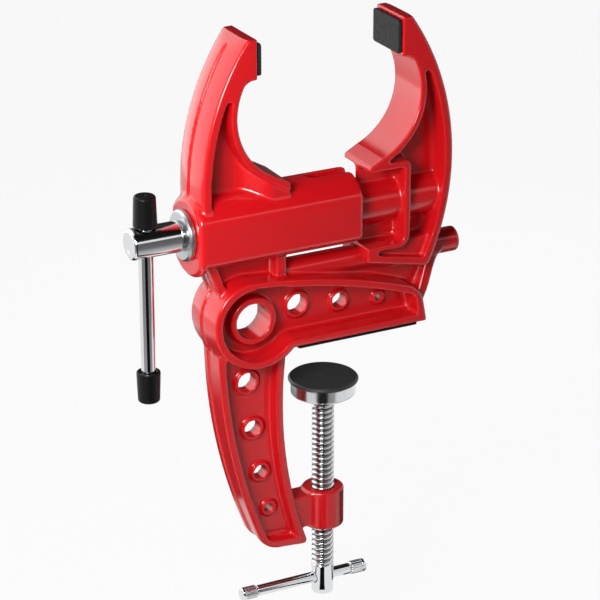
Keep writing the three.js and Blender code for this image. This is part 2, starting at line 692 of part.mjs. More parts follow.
// The sliding jaw: the same C, its round bar, and a foot that straddles the lower rail.
function movingJaw() {
  const half = jawHalf(footEndZ + footFlange / 2);
  const jaw = cut(join(...half.shape.map((g) => placed(g, 1))), placed(half.trim, 1));
  const barEnd = mouthX + outerReach(spindleZ) - jawFlange / 2;
  const bar = solidOf(alongX(roundBar(barRadius, barStartX, barEnd)).translate(0, 0, spindleZ));
  const shelfTopZ = lipZ + jawRibThickness;
  const topRound = { x: jawRibX - jawRibTopRound, z: shelfTopZ - jawRibTopRound };
  const ribCorner = mitre(topRound, jawRibTopRound, 0, Math.PI / 2);
  const footRound = { x: jawRibX - jawRibRound, z: footTopZ - mouthFlange + jawRibRound + root };
  const ribPath = [
    { x: mouthX + lipFillReach - root, z: shelfTopZ, nx: 0, nz: 1 }, ribCorner,
    ...arcPath(footRound.x, footRound.z, jawRibRound, 0, -Math.PI / 2, shortArcSteps / 2),
  ];
  const floorLineZ = ribPath[ribPath.length - 1].z;
  const rib = sweep(ribPath, flangeSection({ width: jawWidth, thickness: jawRibThickness }));
  const shelf = outline([
    [footStartX, floorLineZ], [jawRibX - jawRibRound + root, floorLineZ],
    [jawRibX - jawRibRound + root, footTopZ], [footStartX, footTopZ],
  ]);
  const head = outline([
    [footStartX, footStartZ], [footStartX + footHead, footStartZ], [footStartX + footHead, footTopZ],
    [footStartX, footTopZ],
  ]);
  const heelX = mouthX + outerReach(footEndZ + footFlange) - root;
  const sole = outline([
    [footStartX, footStartZ], [footEndX, footEndZ], [heelX, footEndZ + footFlange / 2],
    [heelX, footEndZ + footFlange], [footStartX, footStartZ + footFlange],
  ]);
  const saddle = outline([
    [footStartX, footStartZ], [footEndX, footEndZ + root], [mouthX + outerReach(footTopZ) - root, footTopZ],
    [footStartX, footTopZ],
  ]);
  const saddleWidth = (railRadius + runGap + footWall) * 2;
  const body = join(
    jaw, bar, solidOf(rib), plate(shelf, jawWidth), plate(head, jawWidth), plate(sole, jawWidth),
    plate(saddle, saddleWidth),
  );
  const trim = cornerTrim(topRound, jawRibTopRound, ribCorner, jawWidth);
  return cut(body, trim, barrelRoom(), ...railCuts(), ...barCuts());
}

// The room that the closed jaw leaves round the barrel, past its bar and the web that enters the slots.
function barrelRoom() {
  const roomEndX = jawRibX - jawRibThickness;
  const room = solidOf(alongX(roundBar(barrelRadius + runGap, 0, roomEndX)).translate(0, 0, spindleZ));
  const bar = solidOf(alongX(roundBar(barRadius, -overrun, roomEndX + overrun)).translate(0, 0, spindleZ));
  const web = new THREE.BoxGeometry(roomEndX + overrun * 2, webThickness, barrelRadius * 2 + overrun);
  return cut(room, bar, solidOf(web.translate(roomEndX / 2, 0, spindleZ)));
}

// The channel for the rail through the sliding jaw's foot.
function railCuts() {
  const reach = railEndX * 2;
  const round = alongX(roundBar(railRadius + runGap, 0, reach, roundSides / 2)).translate(0, 0, railZ);
  const below = new THREE.BoxGeometry(reach, (railRadius + runGap) * 2, railZ);
  return [round, below.translate(reach / 2, 0, railZ / 2)].map(solidOf);
}

// The sliding bar's bores: a seat for the nut at its left end, room for the spindle behind it, and the pin's hole.
function barCuts() {
  const floorX = mouthX + outerReach(spindleZ) - barFloor;
  const seat = alongX(roundBar(nutRadius + seatGap, barStartX - overrun, barStartX + nutLength));
  const room = alongX(roundBar(spindleRadius + runGap, barStartX, floorX));
  const pin = roundBar(pinRadius + seatGap, 0, barRadius + overrun, smallSides);
  return [
    seat.translate(0, 0, spindleZ), room.translate(0, 0, spindleZ),
    pin.translate(barStartX + nutLength / 2, 0, spindleZ),
  ].map(solidOf);
}

function jawPad(side) {
  const shape = new THREE.Shape();
  const [half, back] = [padWidth / 2, padRound];
  shape.moveTo(-half + back, 0);
  shape.lineTo(half - back, 0);
  shape.quadraticCurveTo(half, 0, half, back);
  shape.lineTo(half, padHeight - back);
  shape.quadraticCurveTo(half, padHeight, half - back, padHeight);
  shape.lineTo(-half + back, padHeight);
  shape.quadraticCurveTo(-half, padHeight, -half, padHeight - back);
  shape.lineTo(-half, back);
  shape.quadraticCurveTo(-half, 0, -half + back, 0);
  const geometry = new THREE.ExtrudeGeometry(shape, { depth: padThickness, bevelEnabled: false, curveSegments: 4 });
  geometry.rotateX(Math.PI / 2).rotateZ(Math.PI / 2);
  const faceX = mouthX + side * (tipReach - seatGap);
  return { solid: solidOf(geometry), x: side > 0 ? faceX - padThickness : faceX, z: padFootZ };
}

function benchStrip() {
  const shape = outline([[stripStartX, 0], [stripEndX, 0], [stripEndX, stripThickness], [stripStartX, stripThickness]]);
  return plate(shape, bracketWidth - edgeRound);
}

// The jaw spindle: a round head with a cross hole, and a shank as thick as its thread.
function spindle() {
  const shankX = barrelStartX - seatGap * 2 - washerThickness;
  const profile = [
    [0, headStartX], [headRadius - headRound, headStartX], [headRadius, headStartX + headRound],
    [headRadius, shankX - headRound / 2], [headRadius - headRound / 2, shankX],
    [spindleRadius, shankX], [spindleRadius, spindleEndX - headRound],
    [spindleRadius - headRound, spindleEndX], [0, spindleEndX],
  ];
  const cross = roundBar(tBarRadius + seatGap, -headRadius - overrun, headRadius + overrun, smallSides);
  const pin = roundBar(pinRadius + seatGap, -spindleRadius - overrun, spindleRadius + overrun, smallSides);
  const collarX = hubFaceX + seatGap + collarLength / 2;
  return cut(
    solidOf(alongX(turned(profile))), solidOf(cross.translate(tBarX, 0, 0)),
    solidOf(pin.translate(collarX, 0, 0)),
  );
}

// A ring turned about the spindle's axis, with an optional bevel on its left edge.
function spindleRing(inner, outer, length, bevel = 0) {
  return solidOf(alongX(turned([
    [inner, 0], [outer - bevel, 0], [outer, bevel], [outer, length], [inner, length],
  ])));
}

// The bush in the hub wall, with a thin flange that the collar bears on.
function hubBush() {
  const inner = spindleRadius + runGap;
  return solidOf(alongX(turned([
    [inner, 0], [inner + bushWall, 0], [inner + bushWall, hubWall - seatGap], [inner, hubWall - seatGap],
  ])));
}

function collar() {
  const ring = spindleRing(spindleRadius + seatGap, collarRadius, collarLength, washerBevel / 2);
  const hole = roundBar(pinRadius + seatGap, -collarRadius - overrun, collarRadius + overrun, smallSides);
  return cut(ring, solidOf(hole.translate(collarLength / 2, 0, 0)));
}

function spindleNut() {
  const ring = spindleRing(spindleRadius + seatGap, nutRadius, nutLength - seatGap);
  const depth = nutRadius - spindleRadius;
  const hole = roundBar(pinRadius + seatGap, nutRadius - depth / 2, nutRadius + overrun, smallSides);
  return cut(ring, solidOf(hole.translate(nutLength / 2, 0, 0)));
}

// A rubber cap pushed over the end of the T-bar, its closed end up.
function barCap() {
  const inner = tBarRadius + seatGap;
  const wide = capRadius;
  const tip = capRadius - capTaper;
  return solidOf(turned([
    [inner, 0], [wide - capTaper, 0], [wide, capTip / 2], [tip, capLength - capTip],
    [tip - capTip / 2, capLength - capTip / 4], [tip - capTip, capLength], [0, capLength],
    [0, capCover + seatGap], [inner, capCover + seatGap],
  ], roundSides / 2));
}

// The clamp screw: threaded length, plain foot with a cross hole, and a necked spigot that carries the disc.
function clampScrew() {
  const shoulderZ = discTopZ - discThickness - seatGap;
  const clipZ = discTopZ - discThickness + discFloor + seatGap;
  const profile = [
    [0, screwFootZ], [screwRadius - discBevel, screwFootZ], [screwRadius, screwFootZ + discBevel],
    [screwRadius, shoulderZ], [spigotRadius, shoulderZ], [spigotRadius, clipZ], [spigotNeckRadius, clipZ],
    [spigotNeckRadius, clipZ + clipThickness + seatGap], [spigotRadius, clipZ + clipThickness + seatGap],
    [spigotRadius, clipZ + clipThickness + seatGap + discBevel], [0, clipZ + clipThickness + seatGap + discBevel],
  ];
  const cross = alongX(roundBar(clampBarRadius + seatGap, -screwRadius - overrun, screwRadius + overrun, smallSides));
  return cut(solidOf(turned(profile)), solidOf(cross.translate(0, 0, clampBarZ)));
}

// The swivel disc, hollowed from above round the spigot.
function clampDisc() {
  const footZ = discTopZ - discThickness;
  return solidOf(turned([
    [spigotRadius + runGap, footZ], [discRadius - discBevel, footZ], [discRadius, footZ + discBevel],
    [discRadius, discTopZ], [discPocketRadius, discTopZ], [discPocketRadius, footZ + discFloor],
    [spigotRadius + runGap, footZ + discFloor],
  ]));
}

// The rubber cap on the disc, with a shallow lip round its edge.
function discCap() {
  const footZ = discTopZ + seatGap;
  const topZ = footZ + capDiscThickness;
  const lip = discRadius + seatGap;
  return solidOf(turned([
    [0, footZ], [lip, footZ], [lip, footZ - capDiscLip], [capDiscRadius, footZ - capDiscLip],
    [capDiscRadius, topZ - capDiscRound], [capDiscRadius - capDiscRound, topZ], [0, topZ],
  ]));
}

// The open clip that holds the disc on the spigot.
function discClip() {
  const z = discTopZ - discThickness + discFloor + seatGap * 1.5;
  const shape = new THREE.Shape();
  shape.absarc(0, 0, clipRadius, clipOpeningTurn / 2, Math.PI * 2 - clipOpeningTurn / 2, false);
  shape.absarc(0, 0, spigotNeckRadius + seatGap, Math.PI * 2 - clipOpeningTurn / 2, clipOpeningTurn / 2, true);
  const geometry = new THREE.ExtrudeGeometry(shape, {
    depth: clipThickness, bevelEnabled: false, curveSegments: smallSides,
  });
  return solidOf(geometry.translate(0, 0, z));
}

function clampBarSleeve() {
  const inner = clampBarRadius - sleeveWall;
  return solidOf(alongX(turned([
    [inner + seatGap, 0], [sleeveRadius - sleeveRound, 0], [sleeveRadius, sleeveRound],
    [sleeveRadius, sleeveLength - sleeveRound], [sleeveRadius - sleeveRound, sleeveLength], [0, sleeveLength],
    [0, sleeveLength - sleeveWall], [inner + seatGap, sleeveLength - sleeveWall],
  ], smallSides)));
}

// The clamp T-bar: a rod turned down at both ends, where the sleeves are pressed on.
function clampBar() {
  const half = clampBarLength / 2;
  const shoulder = half - sleeveLength - seatGap;
  const end = half - sleeveWall - seatGap;
  const thin = clampBarRadius - sleeveWall;
  return solidOf(alongX(turned([
    [0, -end], [thin, -end], [thin, -shoulder], [clampBarRadius, -shoulder], [clampBarRadius, shoulder],
    [thin, shoulder], [thin, end], [0, end],
  ], smallSides)));
}

const at = (mesh, x, y, z) => {
  mesh.position.set(x, y, z);
  return mesh;
};
const group = (...children) => new THREE.Group().add(...children);

const leftPad = jawPad(-1);
const rightPad = jawPad(1);
const frame = group(
  piece("frame_casting", frameCasting(), red),
  at(piece("fixed_jaw_pad", leftPad.solid, rubber), leftPad.x, 0, leftPad.z),
  piece("bench_strip", benchStrip(), rubber),
  at(piece("spindle_bush", hubBush(), bronze), barrelStartX, 0, spindleZ),
);

const slidingJaw = group(
  piece("moving_jaw", movingJaw(), red),
  at(piece("moving_jaw_pad", rightPad.solid, rubber), rightPad.x, 0, rightPad.z),
  at(piece("spindle_nut", spindleNut(), bronze), barStartX, 0, spindleZ),
  at(
    piece("nut_pin", solidOf(roundBar(pinRadius, nutRadius - pinRadius / 2, barRadius - seatGap, smallSides)), chrome),
    barStartX + nutLength / 2, 0, spindleZ,
  ),
);

const tBar = group(
  piece("spindle_bar", solidOf(roundBar(tBarRadius, 0, tBarLength, smallSides)), chrome),
);
const lowerCap = piece("spindle_bar_cap_lower", barCap(), rubber);
lowerCap.rotation.x = Math.PI;
tBar.add(
  at(piece("spindle_bar_cap_upper", barCap(), rubber), 0, 0, tBarLength - capCover),
  at(lowerCap, 0, 0, capCover),
);
// The bar hangs down: its upper cap rests on the spindle's head.
at(tBar, tBarX, 0, headRadius + seatGap - (tBarLength - capCover));

const spindleGroup = group(
  piece("jaw_spindle", spindle(), chrome),
  at(
    piece("spindle_washer", spindleRing(spindleRadius + seatGap, washerRadius, washerThickness, washerBevel), chrome),
    barrelStartX - seatGap - washerThickness, 0, 0,
  ),
  at(piece("spindle_collar", collar(), chrome), hubFaceX + seatGap, 0, 0),
  at(
    piece("collar_pin", solidOf(roundBar(pinRadius, -collarRadius + root, collarRadius - root, smallSides)), chrome),
    hubFaceX + seatGap + collarLength / 2, 0, 0,
  ),
  tBar,
);
at(spindleGroup, 0, 0, spindleZ);

const leftSleeve = piece("clamp_bar_end_left", clampBarSleeve(), chrome);
leftSleeve.rotation.z = Math.PI;
const clampTBar = group(
  piece("clamp_bar", clampBar(), chrome),
  at(leftSleeve, -clampBarLength / 2 + sleeveLength, 0, 0),
  at(piece("clamp_bar_end_right", clampBarSleeve(), chrome), clampBarLength / 2 - sleeveLength, 0, 0),
);
at(clampTBar, -clampBarOffset, 0, clampBarZ);

const clamp = group(
  piece("clamp_disc", clampDisc(), chrome),
  piece("clamp_disc_cap", discCap(), rubber),
  piece("disc_clip", discClip(), chrome),
  piece("clamp_screw", clampScrew(), chrome),
  clampTBar,
);

export default group(frame, slidingJaw, spindleGroup, clamp);
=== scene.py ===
import math
from functools import cache, reduce

import bpy
import numpy as np
from mathutils import Matrix, Vector


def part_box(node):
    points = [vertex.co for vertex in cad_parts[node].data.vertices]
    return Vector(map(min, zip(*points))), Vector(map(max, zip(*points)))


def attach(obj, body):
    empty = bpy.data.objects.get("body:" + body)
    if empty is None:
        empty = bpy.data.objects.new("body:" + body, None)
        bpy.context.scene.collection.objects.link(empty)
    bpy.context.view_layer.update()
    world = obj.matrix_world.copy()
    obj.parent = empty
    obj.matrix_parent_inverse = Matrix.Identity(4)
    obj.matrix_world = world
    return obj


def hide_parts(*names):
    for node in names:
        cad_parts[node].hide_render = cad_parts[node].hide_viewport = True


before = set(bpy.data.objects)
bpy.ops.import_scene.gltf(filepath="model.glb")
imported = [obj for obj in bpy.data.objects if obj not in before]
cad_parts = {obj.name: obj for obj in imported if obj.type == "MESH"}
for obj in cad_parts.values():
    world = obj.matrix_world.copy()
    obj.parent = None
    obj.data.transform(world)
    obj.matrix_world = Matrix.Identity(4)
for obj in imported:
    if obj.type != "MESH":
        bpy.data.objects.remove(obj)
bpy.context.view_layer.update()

bl_info = {
    "name": "Ski tuning vise",
    "version": (1, 0, 0),
    "blender": (4, 5, 0),
    "location": "View3D > Sidebar > Vise",
    "description": "A cast ski tuning vise with a screw-driven jaw and a bench clamp",
    "category": "Object",
}

MM = 0.001

# Castings, in millimetres: X along the jaw spindle, Y to the back, Z up
MOUTH_X = -4.5
JAW_HALF = 19.0
JAW_FOOT = (77.2, 43.4)
JAW_TOP = (61.4, 226.0)
JAW_RADIUS = 179.6
JAW_FLANGE = 5.8
JAW_CROWN = 2.6
JAW_GROOVE = (3.0, 1.5, 1.6)
GROOVE_TOP_Z = 222.0
GROOVE_RUNOUT = 4.0
TIP_REACH = 54.7
TIP_FOOT_Z = 198.0
TIP_BEVEL_REACH = 62.6
POCKET_TOP_Z = 186.0
MOUTH = (21.0, 172.4)
MOUTH_RADIUS = 48.5
MOUTH_FLANGE = 4.6
LIP = (30.2, 122.3)
LIP_ARC_END = (48.26, 132.3)
SHELF_Z = 118.9
RIB_X = 58.0
RIB_THICKNESS = 4.6
WEB_HALF = 3.0
RAMP_RISE = 14.2
RAMP_REACH = (42.0, 66.0)
SADDLE_TOP_Z = 63.8
SADDLE_HALF = 13.4
SADDLE_ROOF = 3.6
SOLE = ((24.4, 53.2), (70.6, 43.4))
SOLE_FLANGE = 5.6
FOOT_HEAD_X = 33.0
RECESS_TOP_Z = 80.0
SPINDLE_Z = 91.3
BAR_RADIUS = 15.0
BAR_X = (-46.0, 88.0)
BAR_COVER = 2.0
SLIDE_GAP = 0.4
NUT_SEAT_RADIUS = 11.3
NUT_SEAT_X = -22.0
NUT_PIN_X = -34.0
NUT_PIN_RADIUS = 2.3
HOLLOW_RADIUS = 8.4
HOLLOW_X = 62.0

BARREL_RADIUS = 26.8
BARREL_X = (-104.5, 19.5)
BARREL_HALF = 23.3
BARREL_CHEEK = (23.3, 75.2)
BARREL_CHIN = (15.0, 69.1)
END_PLATE_Z = 88.2
END_PLATE_X = -97.5
BORE_X = -90.0
HUB_RADIUS = 11.5
SLOT_HALF = 4.7
SLOT_X = -9.0
SLOT_FOOT_Z = 64.0

GUIDE_Z = (30.0, 78.0)
COLUMN = ((-94.1, 68.0), (-81.2, 36.0))
COLUMN_FLANGE = 6.2
BACK_GROOVE = (13.0, 1.2)
RIB_HALF = 12.5
GUIDE_RIB_X = (-42.6, -35.0)
RAIL_Z = 51.6
RAIL_RADIUS = 9.0
RAIL_X = (-36.0, 104.0)
STRUT = ((89.6, 51.6), (70.6, 8.6))
STRUT_THICKNESS = 7.2
STRUT_HALF = 8.7
STRUT_SPREAD = 3.8
STRUT_NECK_Z = 42.3
STRUT_RUN = 22.0
GUIDE_WEB_Z = 20.0
GUIDE_WEB_INSET = (1.0, 2.0)
GUIDE_SUNK = 3.0
TRAVEL_X = 30.0
TRAVEL_Z = 42.4
TRAVEL_GAP = 0.1

BRACKET_HALF = 20.0
BRACKET_FLANGE = 5.7
BRACKET_TOP = ((64.0, 28.35), (-60.0, 54.9))
BRACKET_RADIUS = 437.3
BRACKET_END_X = 72.0
BRACKET_LEAN = 0.18
BRACKET_CORNER = 9.0
BRACKET_CROWN = 1.4
BRACKET_GROOVE = (3.4, 1.6, 1.6)
BRACKET_GROOVE_Y = 1.0
CROWN_X = (-80.0, -55.0)
FLOOR_Z = 1.9
DRUM = (-58.0, 25.0)
DRUM_RADIUS = 34.3
SHOULDER_RADIUS = 29.0
DRUM_BOSS = (-59.2, 23.0)
DRUM_BOSS_RADIUS = 17.2
DRUM_BOSS_HALF = 11.15
DRUM_BORE = 13.0
RINGS = (  # X, Z and the hole's diameter
    (-23.1, 26.9, 14.6), (9.8, 23.5, 11.0), (41.2, 19.9, 5.4),
    (-61.9, -24.4, 14.0), (-57.8, -60.4, 12.4), (-52.0, -95.2, 10.2), (-45.6, -125.0, 7.0),
)
RING_WALL = 2.4
RING_HALF = 5.5

ARM_HALF = 12.5
ARM_FLANGE = 5.8
ARM_OUTER = ((-87.15, 10.0), (-52.8, -153.6), 408.4)
ARM_INNER = ((-33.1, 10.0), (-18.6, -153.6), 325.2)
ARM_TOP_Z = 10.0
ARM_POCKET_TOP_Z = 12.0
ARM_FOOT = (-51.0, -153.6)
ARM_LEAN = 0.08
THROAT_X = (-45.0, -18.0)
THROAT_Z = (-14.0, 6.0)
BOSS_RADIUS = 15.0
BOSS_Z = (-148.4, -119.3)
BOSS_BORE = 8.3
BOSS_BORE_Z = -110.0
NECK_HALF = 8.5
NECK_Z = (-145.4, -120.8)
NECK_SUNK = 4.0

# Roundings of the castings' edges, and fillets in their corners
EDGE = 1.4
TIP = 1.2
RIM = 0.9
POCKET = 3.2
FILLET = 2.5
SMALL_FILLET = 2.0
RIB_FILLET = 4.0
SADDLE_FILLET = 10.0
BAR_FILLET = 2.2
GUIDE_FILLET = 2.6
DRUM_FILLET = 4.0
TIP_FOOT_ROUND = 4.0
MOUTH_ROUND = 1.5
SOLE_ROUND = 3.0
RECESS_ROUND = 2.0
RIB_BACK_ROUND = 5.4
RIB_BACK_POCKET = 3.0
BAR_ROUND = 1.0
JAW_BORE_RIM = 0.5
NUT_SEAT_ROUND = 0.2
BARREL_ROUND = 2.0
CHEEK_ROUND = 1.6
CHIN_ROUND = 6.0
BARREL_END_ROUNDS = (4.0, 3.5)
FLOOR_ROUND = 1.5
END_POCKET = 3.0
BOSS_ROUND = 1.6
RING_ROUND = 1.0
RING_RIM = 0.6
DRUM_RIM = 0.8
BORE_RIM = 0.7
HEEL_ROUND = 9.5
TOE_ROUND = 4.0
THROAT_ROUND = 6.0

# Spindle and clamp screw
HEAD_X = (-146.5, -111.0)
HEAD_RADIUS = 10.75
DISH_RADIUS = 45.0
DISH_DEPTH = 0.7
HEAD_ROUND = 2.4
HEAD_EDGE = 0.5
HEAD_HOLE_RIM = 0.7
SHANK_RADIUS = 8.0
SHANK_X = (-141.5, -80.0)
SPINDLE_THREAD_X = (-81.0, 19.0)
T_BAR_X = -134.2
T_BAR_RADIUS = 5.0
CROSS_HOLE_GAP = 0.3
SCREW_Z = (-204.0, -181.0)
SCREW_THREAD_Z = (-182.0, -46.7)
SCREW_DROP = 71.0
SCREW_ROUND = 1.2
SCREW_HOLE_RIM = 0.6
CLAMP_BAR_Z = -192.0
CLAMP_BAR_RADIUS = 4.0
SLEEVE_X = (-66.0, 22.0)
SLEEVE_RADIUS = 4.8
SLEEVE_LENGTH = 12.0
SLEEVE_ROUND = 1.2
SLEEVE_FLUTES = 16
SLEEVE_PLAIN = 2.2
SLEEVE_FADE = 0.8
THREAD_STEPS, THREAD_FLANK, THREAD_ROOT = 10, 3.4, 0.35
FLUTE_STEPS, FLUTE_FLANK, FLUTE_CREST, FLUTE_ROWS = 12, 1.6, 0.1, 61

# Turned pieces: axis, a point on it, sides, the corners' rounding, whether the profile closes on itself, the profile
# as pairs of radius and place along the axis, then finish, body and the CAD node that the piece stands for
TURNED = {
    "disc_rubber": ("Z", (0, 0, 0), 96, 0.9, False, (
        (0, -36.3), (24.6, -36.3), (25.0, -35.3), (24.8, -34.7), (23.6, -33.5), (0, -33.5)),
        "disc rubber", "clamp_pad", "clamp_disc_cap"),
    "thrust_washer": ("X", (0, 0, SPINDLE_Z), 96, 0.8, True, (
        (8.3, -109.4), (16.4, -109.4), (17.8, -108.0), (17.8, -104.8), (8.3, -104.8)),
        "plated washer", "jaw_spindle", "spindle_washer"),
    "tommy_bar": ("Z", (T_BAR_X, 0, 0), 96, 0.6, False, (
        (0, -20.65), (T_BAR_RADIUS, -20.65), (T_BAR_RADIUS, 120.35), (0, 120.35)),
        "chrome along z", "spindle_bar", "spindle_bar"),
    "upper_grip": ("Z", (T_BAR_X, 0, 0), 96, 1.6, True, (
        (5.2, 102.35), (8.0, 102.35), (8.3, 103.55), (7.6, 123.15), (6.7, 124.35), (0, 124.35), (0, 120.55),
        (5.2, 120.55)), "black rubber", "spindle_bar", "spindle_bar_cap_upper"),
    "lower_grip": ("Z", (T_BAR_X, 0, 0), 96, 1.6, True, (
        (5.2, -2.65), (8.0, -2.65), (8.3, -3.85), (7.6, -23.45), (6.7, -24.65), (0, -24.65), (0, -20.85),
        (5.2, -20.85)), "black rubber", "spindle_bar", "spindle_bar_cap_lower"),
    "screw_spigot": ("Z", (0, 0, 0), 48, 0.4, False, (
        (0, -47.7), (5.0, -47.7), (5.0, -40.4), (0, -40.4)), "chrome along z", "clamp_screw"),
    "swivel_disc": ("Z", (0, 0, 0), 96, 1.0, True, (
        (5.4, -46.4), (21.8, -46.4), (23.0, -45.2), (23.0, -36.4), (7.6, -36.4), (7.6, -43.4), (5.4, -43.4)),
        "satin chrome", "clamp_pad", "clamp_disc"),
    "clamp_rod": ("X", (0, 0, CLAMP_BAR_Z), 96, 0.4, False, (
        (0, -61.4), (2.4, -61.4), (2.4, -53.4), (CLAMP_BAR_RADIUS, -53.4), (CLAMP_BAR_RADIUS, 21.4), (2.4, 21.4),
        (2.4, 29.4), (0, 29.4)), "chrome along x", "clamp_bar", "clamp_bar"),
}

# Rubber
PAD_FACE_X = (-55.9, 46.9)
PAD_THICKNESS = 3.0
PAD_HALF = 18.0
PAD_Z = (200.3, 223.8)
LEFT_PAD_TOP_Z = 222.4
PAD_CORNER = 2.0
PAD_EDGE = 0.7
PAD_WAVES = (2.1, 2.3)
STRIP_X = (-29.0, 64.5)
STRIP_HALF = 19.3
STRIP_THICKNESS = 1.6
STRIP_CORNER = 1.0
STRIP_EDGE = 0.4

# Edge lengths of the meshes that come from fields, the castings' being a setting
PAD_CELL, STRIP_CELL, HEAD_CELL, FOOT_CELL = 0.6, 0.8, 0.55, 0.5

# The net's room round a box, low and high, and the longest move in a round, in cells; the steps of the slopes that
# vertices and shading follow, in millimetres; the least squared slope; the smallest length that counts; and the most
# of a profile's side that one corner takes
NET_ROOM, LONGEST_MOVE = (1.63, 2.37), 0.45
MOVE_STEP, SHADE_STEP, LEAST_SLOPE, TINY, CORNER_SHARE = 0.05, 0.25, 0.25, 1e-9, 0.48

# Across, up and along each axis
AXES = {"X": ((0, 1, 0), (0, 0, 1), (1, 0, 0)), "Z": ((1, 0, 0), (0, 1, 0), (0, 0, 1))}

# Finishes: the colour setting, its shares in the two tones that are mixed, the middle and spread of the roughness,
# the bump, and more. Grain gives the fine scale, the slow scale and the slow share; coat its weight and roughness;
# axis makes a turned metal, and centre, in metres, a screw with a painted shade in its thread's valleys.
FINISHES = {
    "red paint": ("paint", (1, 0.93), (0.2, 0.03), 0.05, dict(grain=(700.0, 45.0, 0.75), coat=(0.25, 0.06))),
    "black rubber": ("rubber", (1, 0.6), (0.36, 0.06), 0.3, dict(grain=(1800.0, 220.0, 0.35), specular=0.2)),
    "pad rubber": ("rubber", (2.9, 1.3), (0.7, 0.12), 1.0, dict(grain=(1100.0, 420.0, 0.5), specular=0.35)),
    "disc rubber": ("rubber", (6.0, 4.4), (0.42, 0.08), 0.4, dict(grain=(1800.0, 220.0, 0.35))),
    "chrome along x": ("chrome", (1, 0.93), (0.09, 0.04), 0.04, dict(axis="X")),
    "chrome along z": ("chrome", (1, 0.93), (0.09, 0.04), 0.04, dict(axis="Z")),
    "satin chrome": ("chrome", (1, 0.9), (0.2, 0.05), 0.06, dict(axis="Z")),
    "plated washer": ("chrome", (0.7, 0.58), (0.3, 0.06), 0.1, dict(axis="X")),
    "spindle thread": ("chrome", (1, 0.9), (0.17, 0.05), 0.06, dict(axis="X", centre=(0, 0, SPINDLE_Z * MM))),
    "clamp thread": ("chrome", (1, 0.9), (0.17, 0.05), 0.06, dict(axis="Z", centre=(0, 0, 0))),
    "steel": ("steel", (1, 0.8), (0.3, 0.08), 0.15, dict(axis="X")),
    "bronze": ("bronze", (1, 0.75), (0.35, 0.08), 0.15, dict(axis="X")),
}
BUMP_HEIGHT = 0.0002
NODE_STEP = 220
# The share of the base colour left in the painted shade of a thread's valleys
VALLEY_SHADE_SHARE = 0.16

# The photograph's camera: degrees to the left of straight on and above, its place to the right, up and ahead along
# its own view in millimetres, focal length and image width in pixels, sensor in millimetres, and far end in metres
CAMERA_TURN, CAMERA_RISE = 27.5, 22.6
CAMERA_PLACE = (-16.28, 21.99, -1897.3)
FOCAL_LENGTH, IMAGE_WIDTH, SENSOR_WIDTH, CLIP_END = 2715, 600, 36, 50

# Lamps: name, place, aim and size in metres, watts, whether it lights surfaces, whether reflections show it
LAMPS = (
    ("side softbox", (-0.43, 0.6, 0.36), (-0.02, 0, 0.06), (0.85, 1.15), 3.6, False, True),
    ("key", (-0.42, -0.33, 0.32), (-0.02, 0, 0.05), (0.2, 0.2), 3.7, True, True),
    ("side fill", (-0.5, 0.5, 0.3), (-0.02, 0, 0.05), (0.4, 0.4), 0.4, True, False),
    ("low fill", (-0.6, -0.22, -0.08), (0, 0, -0.05), (0.35, 0.35), 0.8, True, False),
    ("front fill", (-0.45, -0.75, -0.02), (-0.02, 0, 0.05), (0.4, 0.4), 0.3, True, False),
    ("rear fill", (0.55, 0.75, 0.35), (0, 0, 0.02), (0.5, 0.5), 2.6, True, False),
    ("top fill", (-0.3, -0.2, 1.2), (0, 0, 0), (0.5, 0.5), 2.6, True, False),
)

# Cards that only reflections show: name, the turn that each covers in degrees, and its profile of reach and height
# in metres and grey
CARDS = (
    ("front hood", (-175, 35), ((0.47, 0.36, 0.03), (0.42, 0.52, 0.008), (0.02, 0.76, 0.008))),
    ("left floor card", (-182, -140), ((0.4, -0.203, 0.5), (0.74, -0.203, 0.25), (0.74, 0.3, 0.25))),
    ("front floor card", (-100, -48), (
        (0.1, -0.203, 0.6), (0.3, -0.203, 0.4), (0.5, -0.203, 0.22), (0.74, -0.203, 0.17), (0.74, 0.3, 0.12))),
    ("low card", (-76, -30), ((0.2, -0.203, 0.85), (0.2, -0.08, 0.85))),
    ("lens card", (-140, -100), ((0.012, -0.2025, 0.006), (0.72, -0.2025, 0.006), (0.72, 0.3, 0.006))),
    ("right card", (-18, 35), ((0.02, -0.203, 0.08), (0.3, -0.203, 0.08))),
    ("rear floor card", (60, 165), ((0.14, -0.203, 0.04), (0.34, -0.203, 0.06), (0.42, -0.203, 0.7))),
    ("back card", (35, 88), (
        (0.4, -0.2025, 0.3), (0.62, -0.2, 0.15), (0.7, 0.1, 0.03), (0.6, 0.6, 0.03), (0.2, 0.85, 0.03))),
)
CARD_STEPS = 25
HIDDEN_RAYS = ("camera", "diffuse", "transmission", "volume_scatter", "shadow")
FLOOR_REACH = 4000.0
FLOOR_GREY = 0.8
FLOOR_GLOW = 0.93
WORLD_LIGHT, WORLD_SEEN = 0.05, 0.94


def overlap(*fields):
    """The overlap of shapes with sharp edges: the largest of their fields."""
    return reduce(np.maximum, fields)


def within(radius, *fields):
    """The overlap of shapes with rounded outer edges: the length of the parts above -radius, less radius."""
    squares = sum(np.maximum(f + radius, 0) ** 2 for f in fields)
    return np.minimum(overlap(*fields), -radius) + np.sqrt(squares)


def joined(radius, *fields):
    """The union of shapes with a fillet of that radius in the corners between them."""
    return -within(radius, *[-f for f in fields])


def less(radius, body, *holes):
    """A body less holes, their rims rounded."""
    return within(radius, body, *[-h for h in holes])


def circle(a, b, centre, radius):
    """Distance to a circle in the plane of two coordinates, negative inside."""
    return np.hypot(a - centre[0], b - centre[1]) - radius


def edge(a, b, start, end):
    """Distance to the right of a straight line from start to end."""
    da, db = end[0] - start[0], end[1] - start[1]
    return ((a - start[0]) * db - (b - start[1]) * da) / math.hypot(da, db)


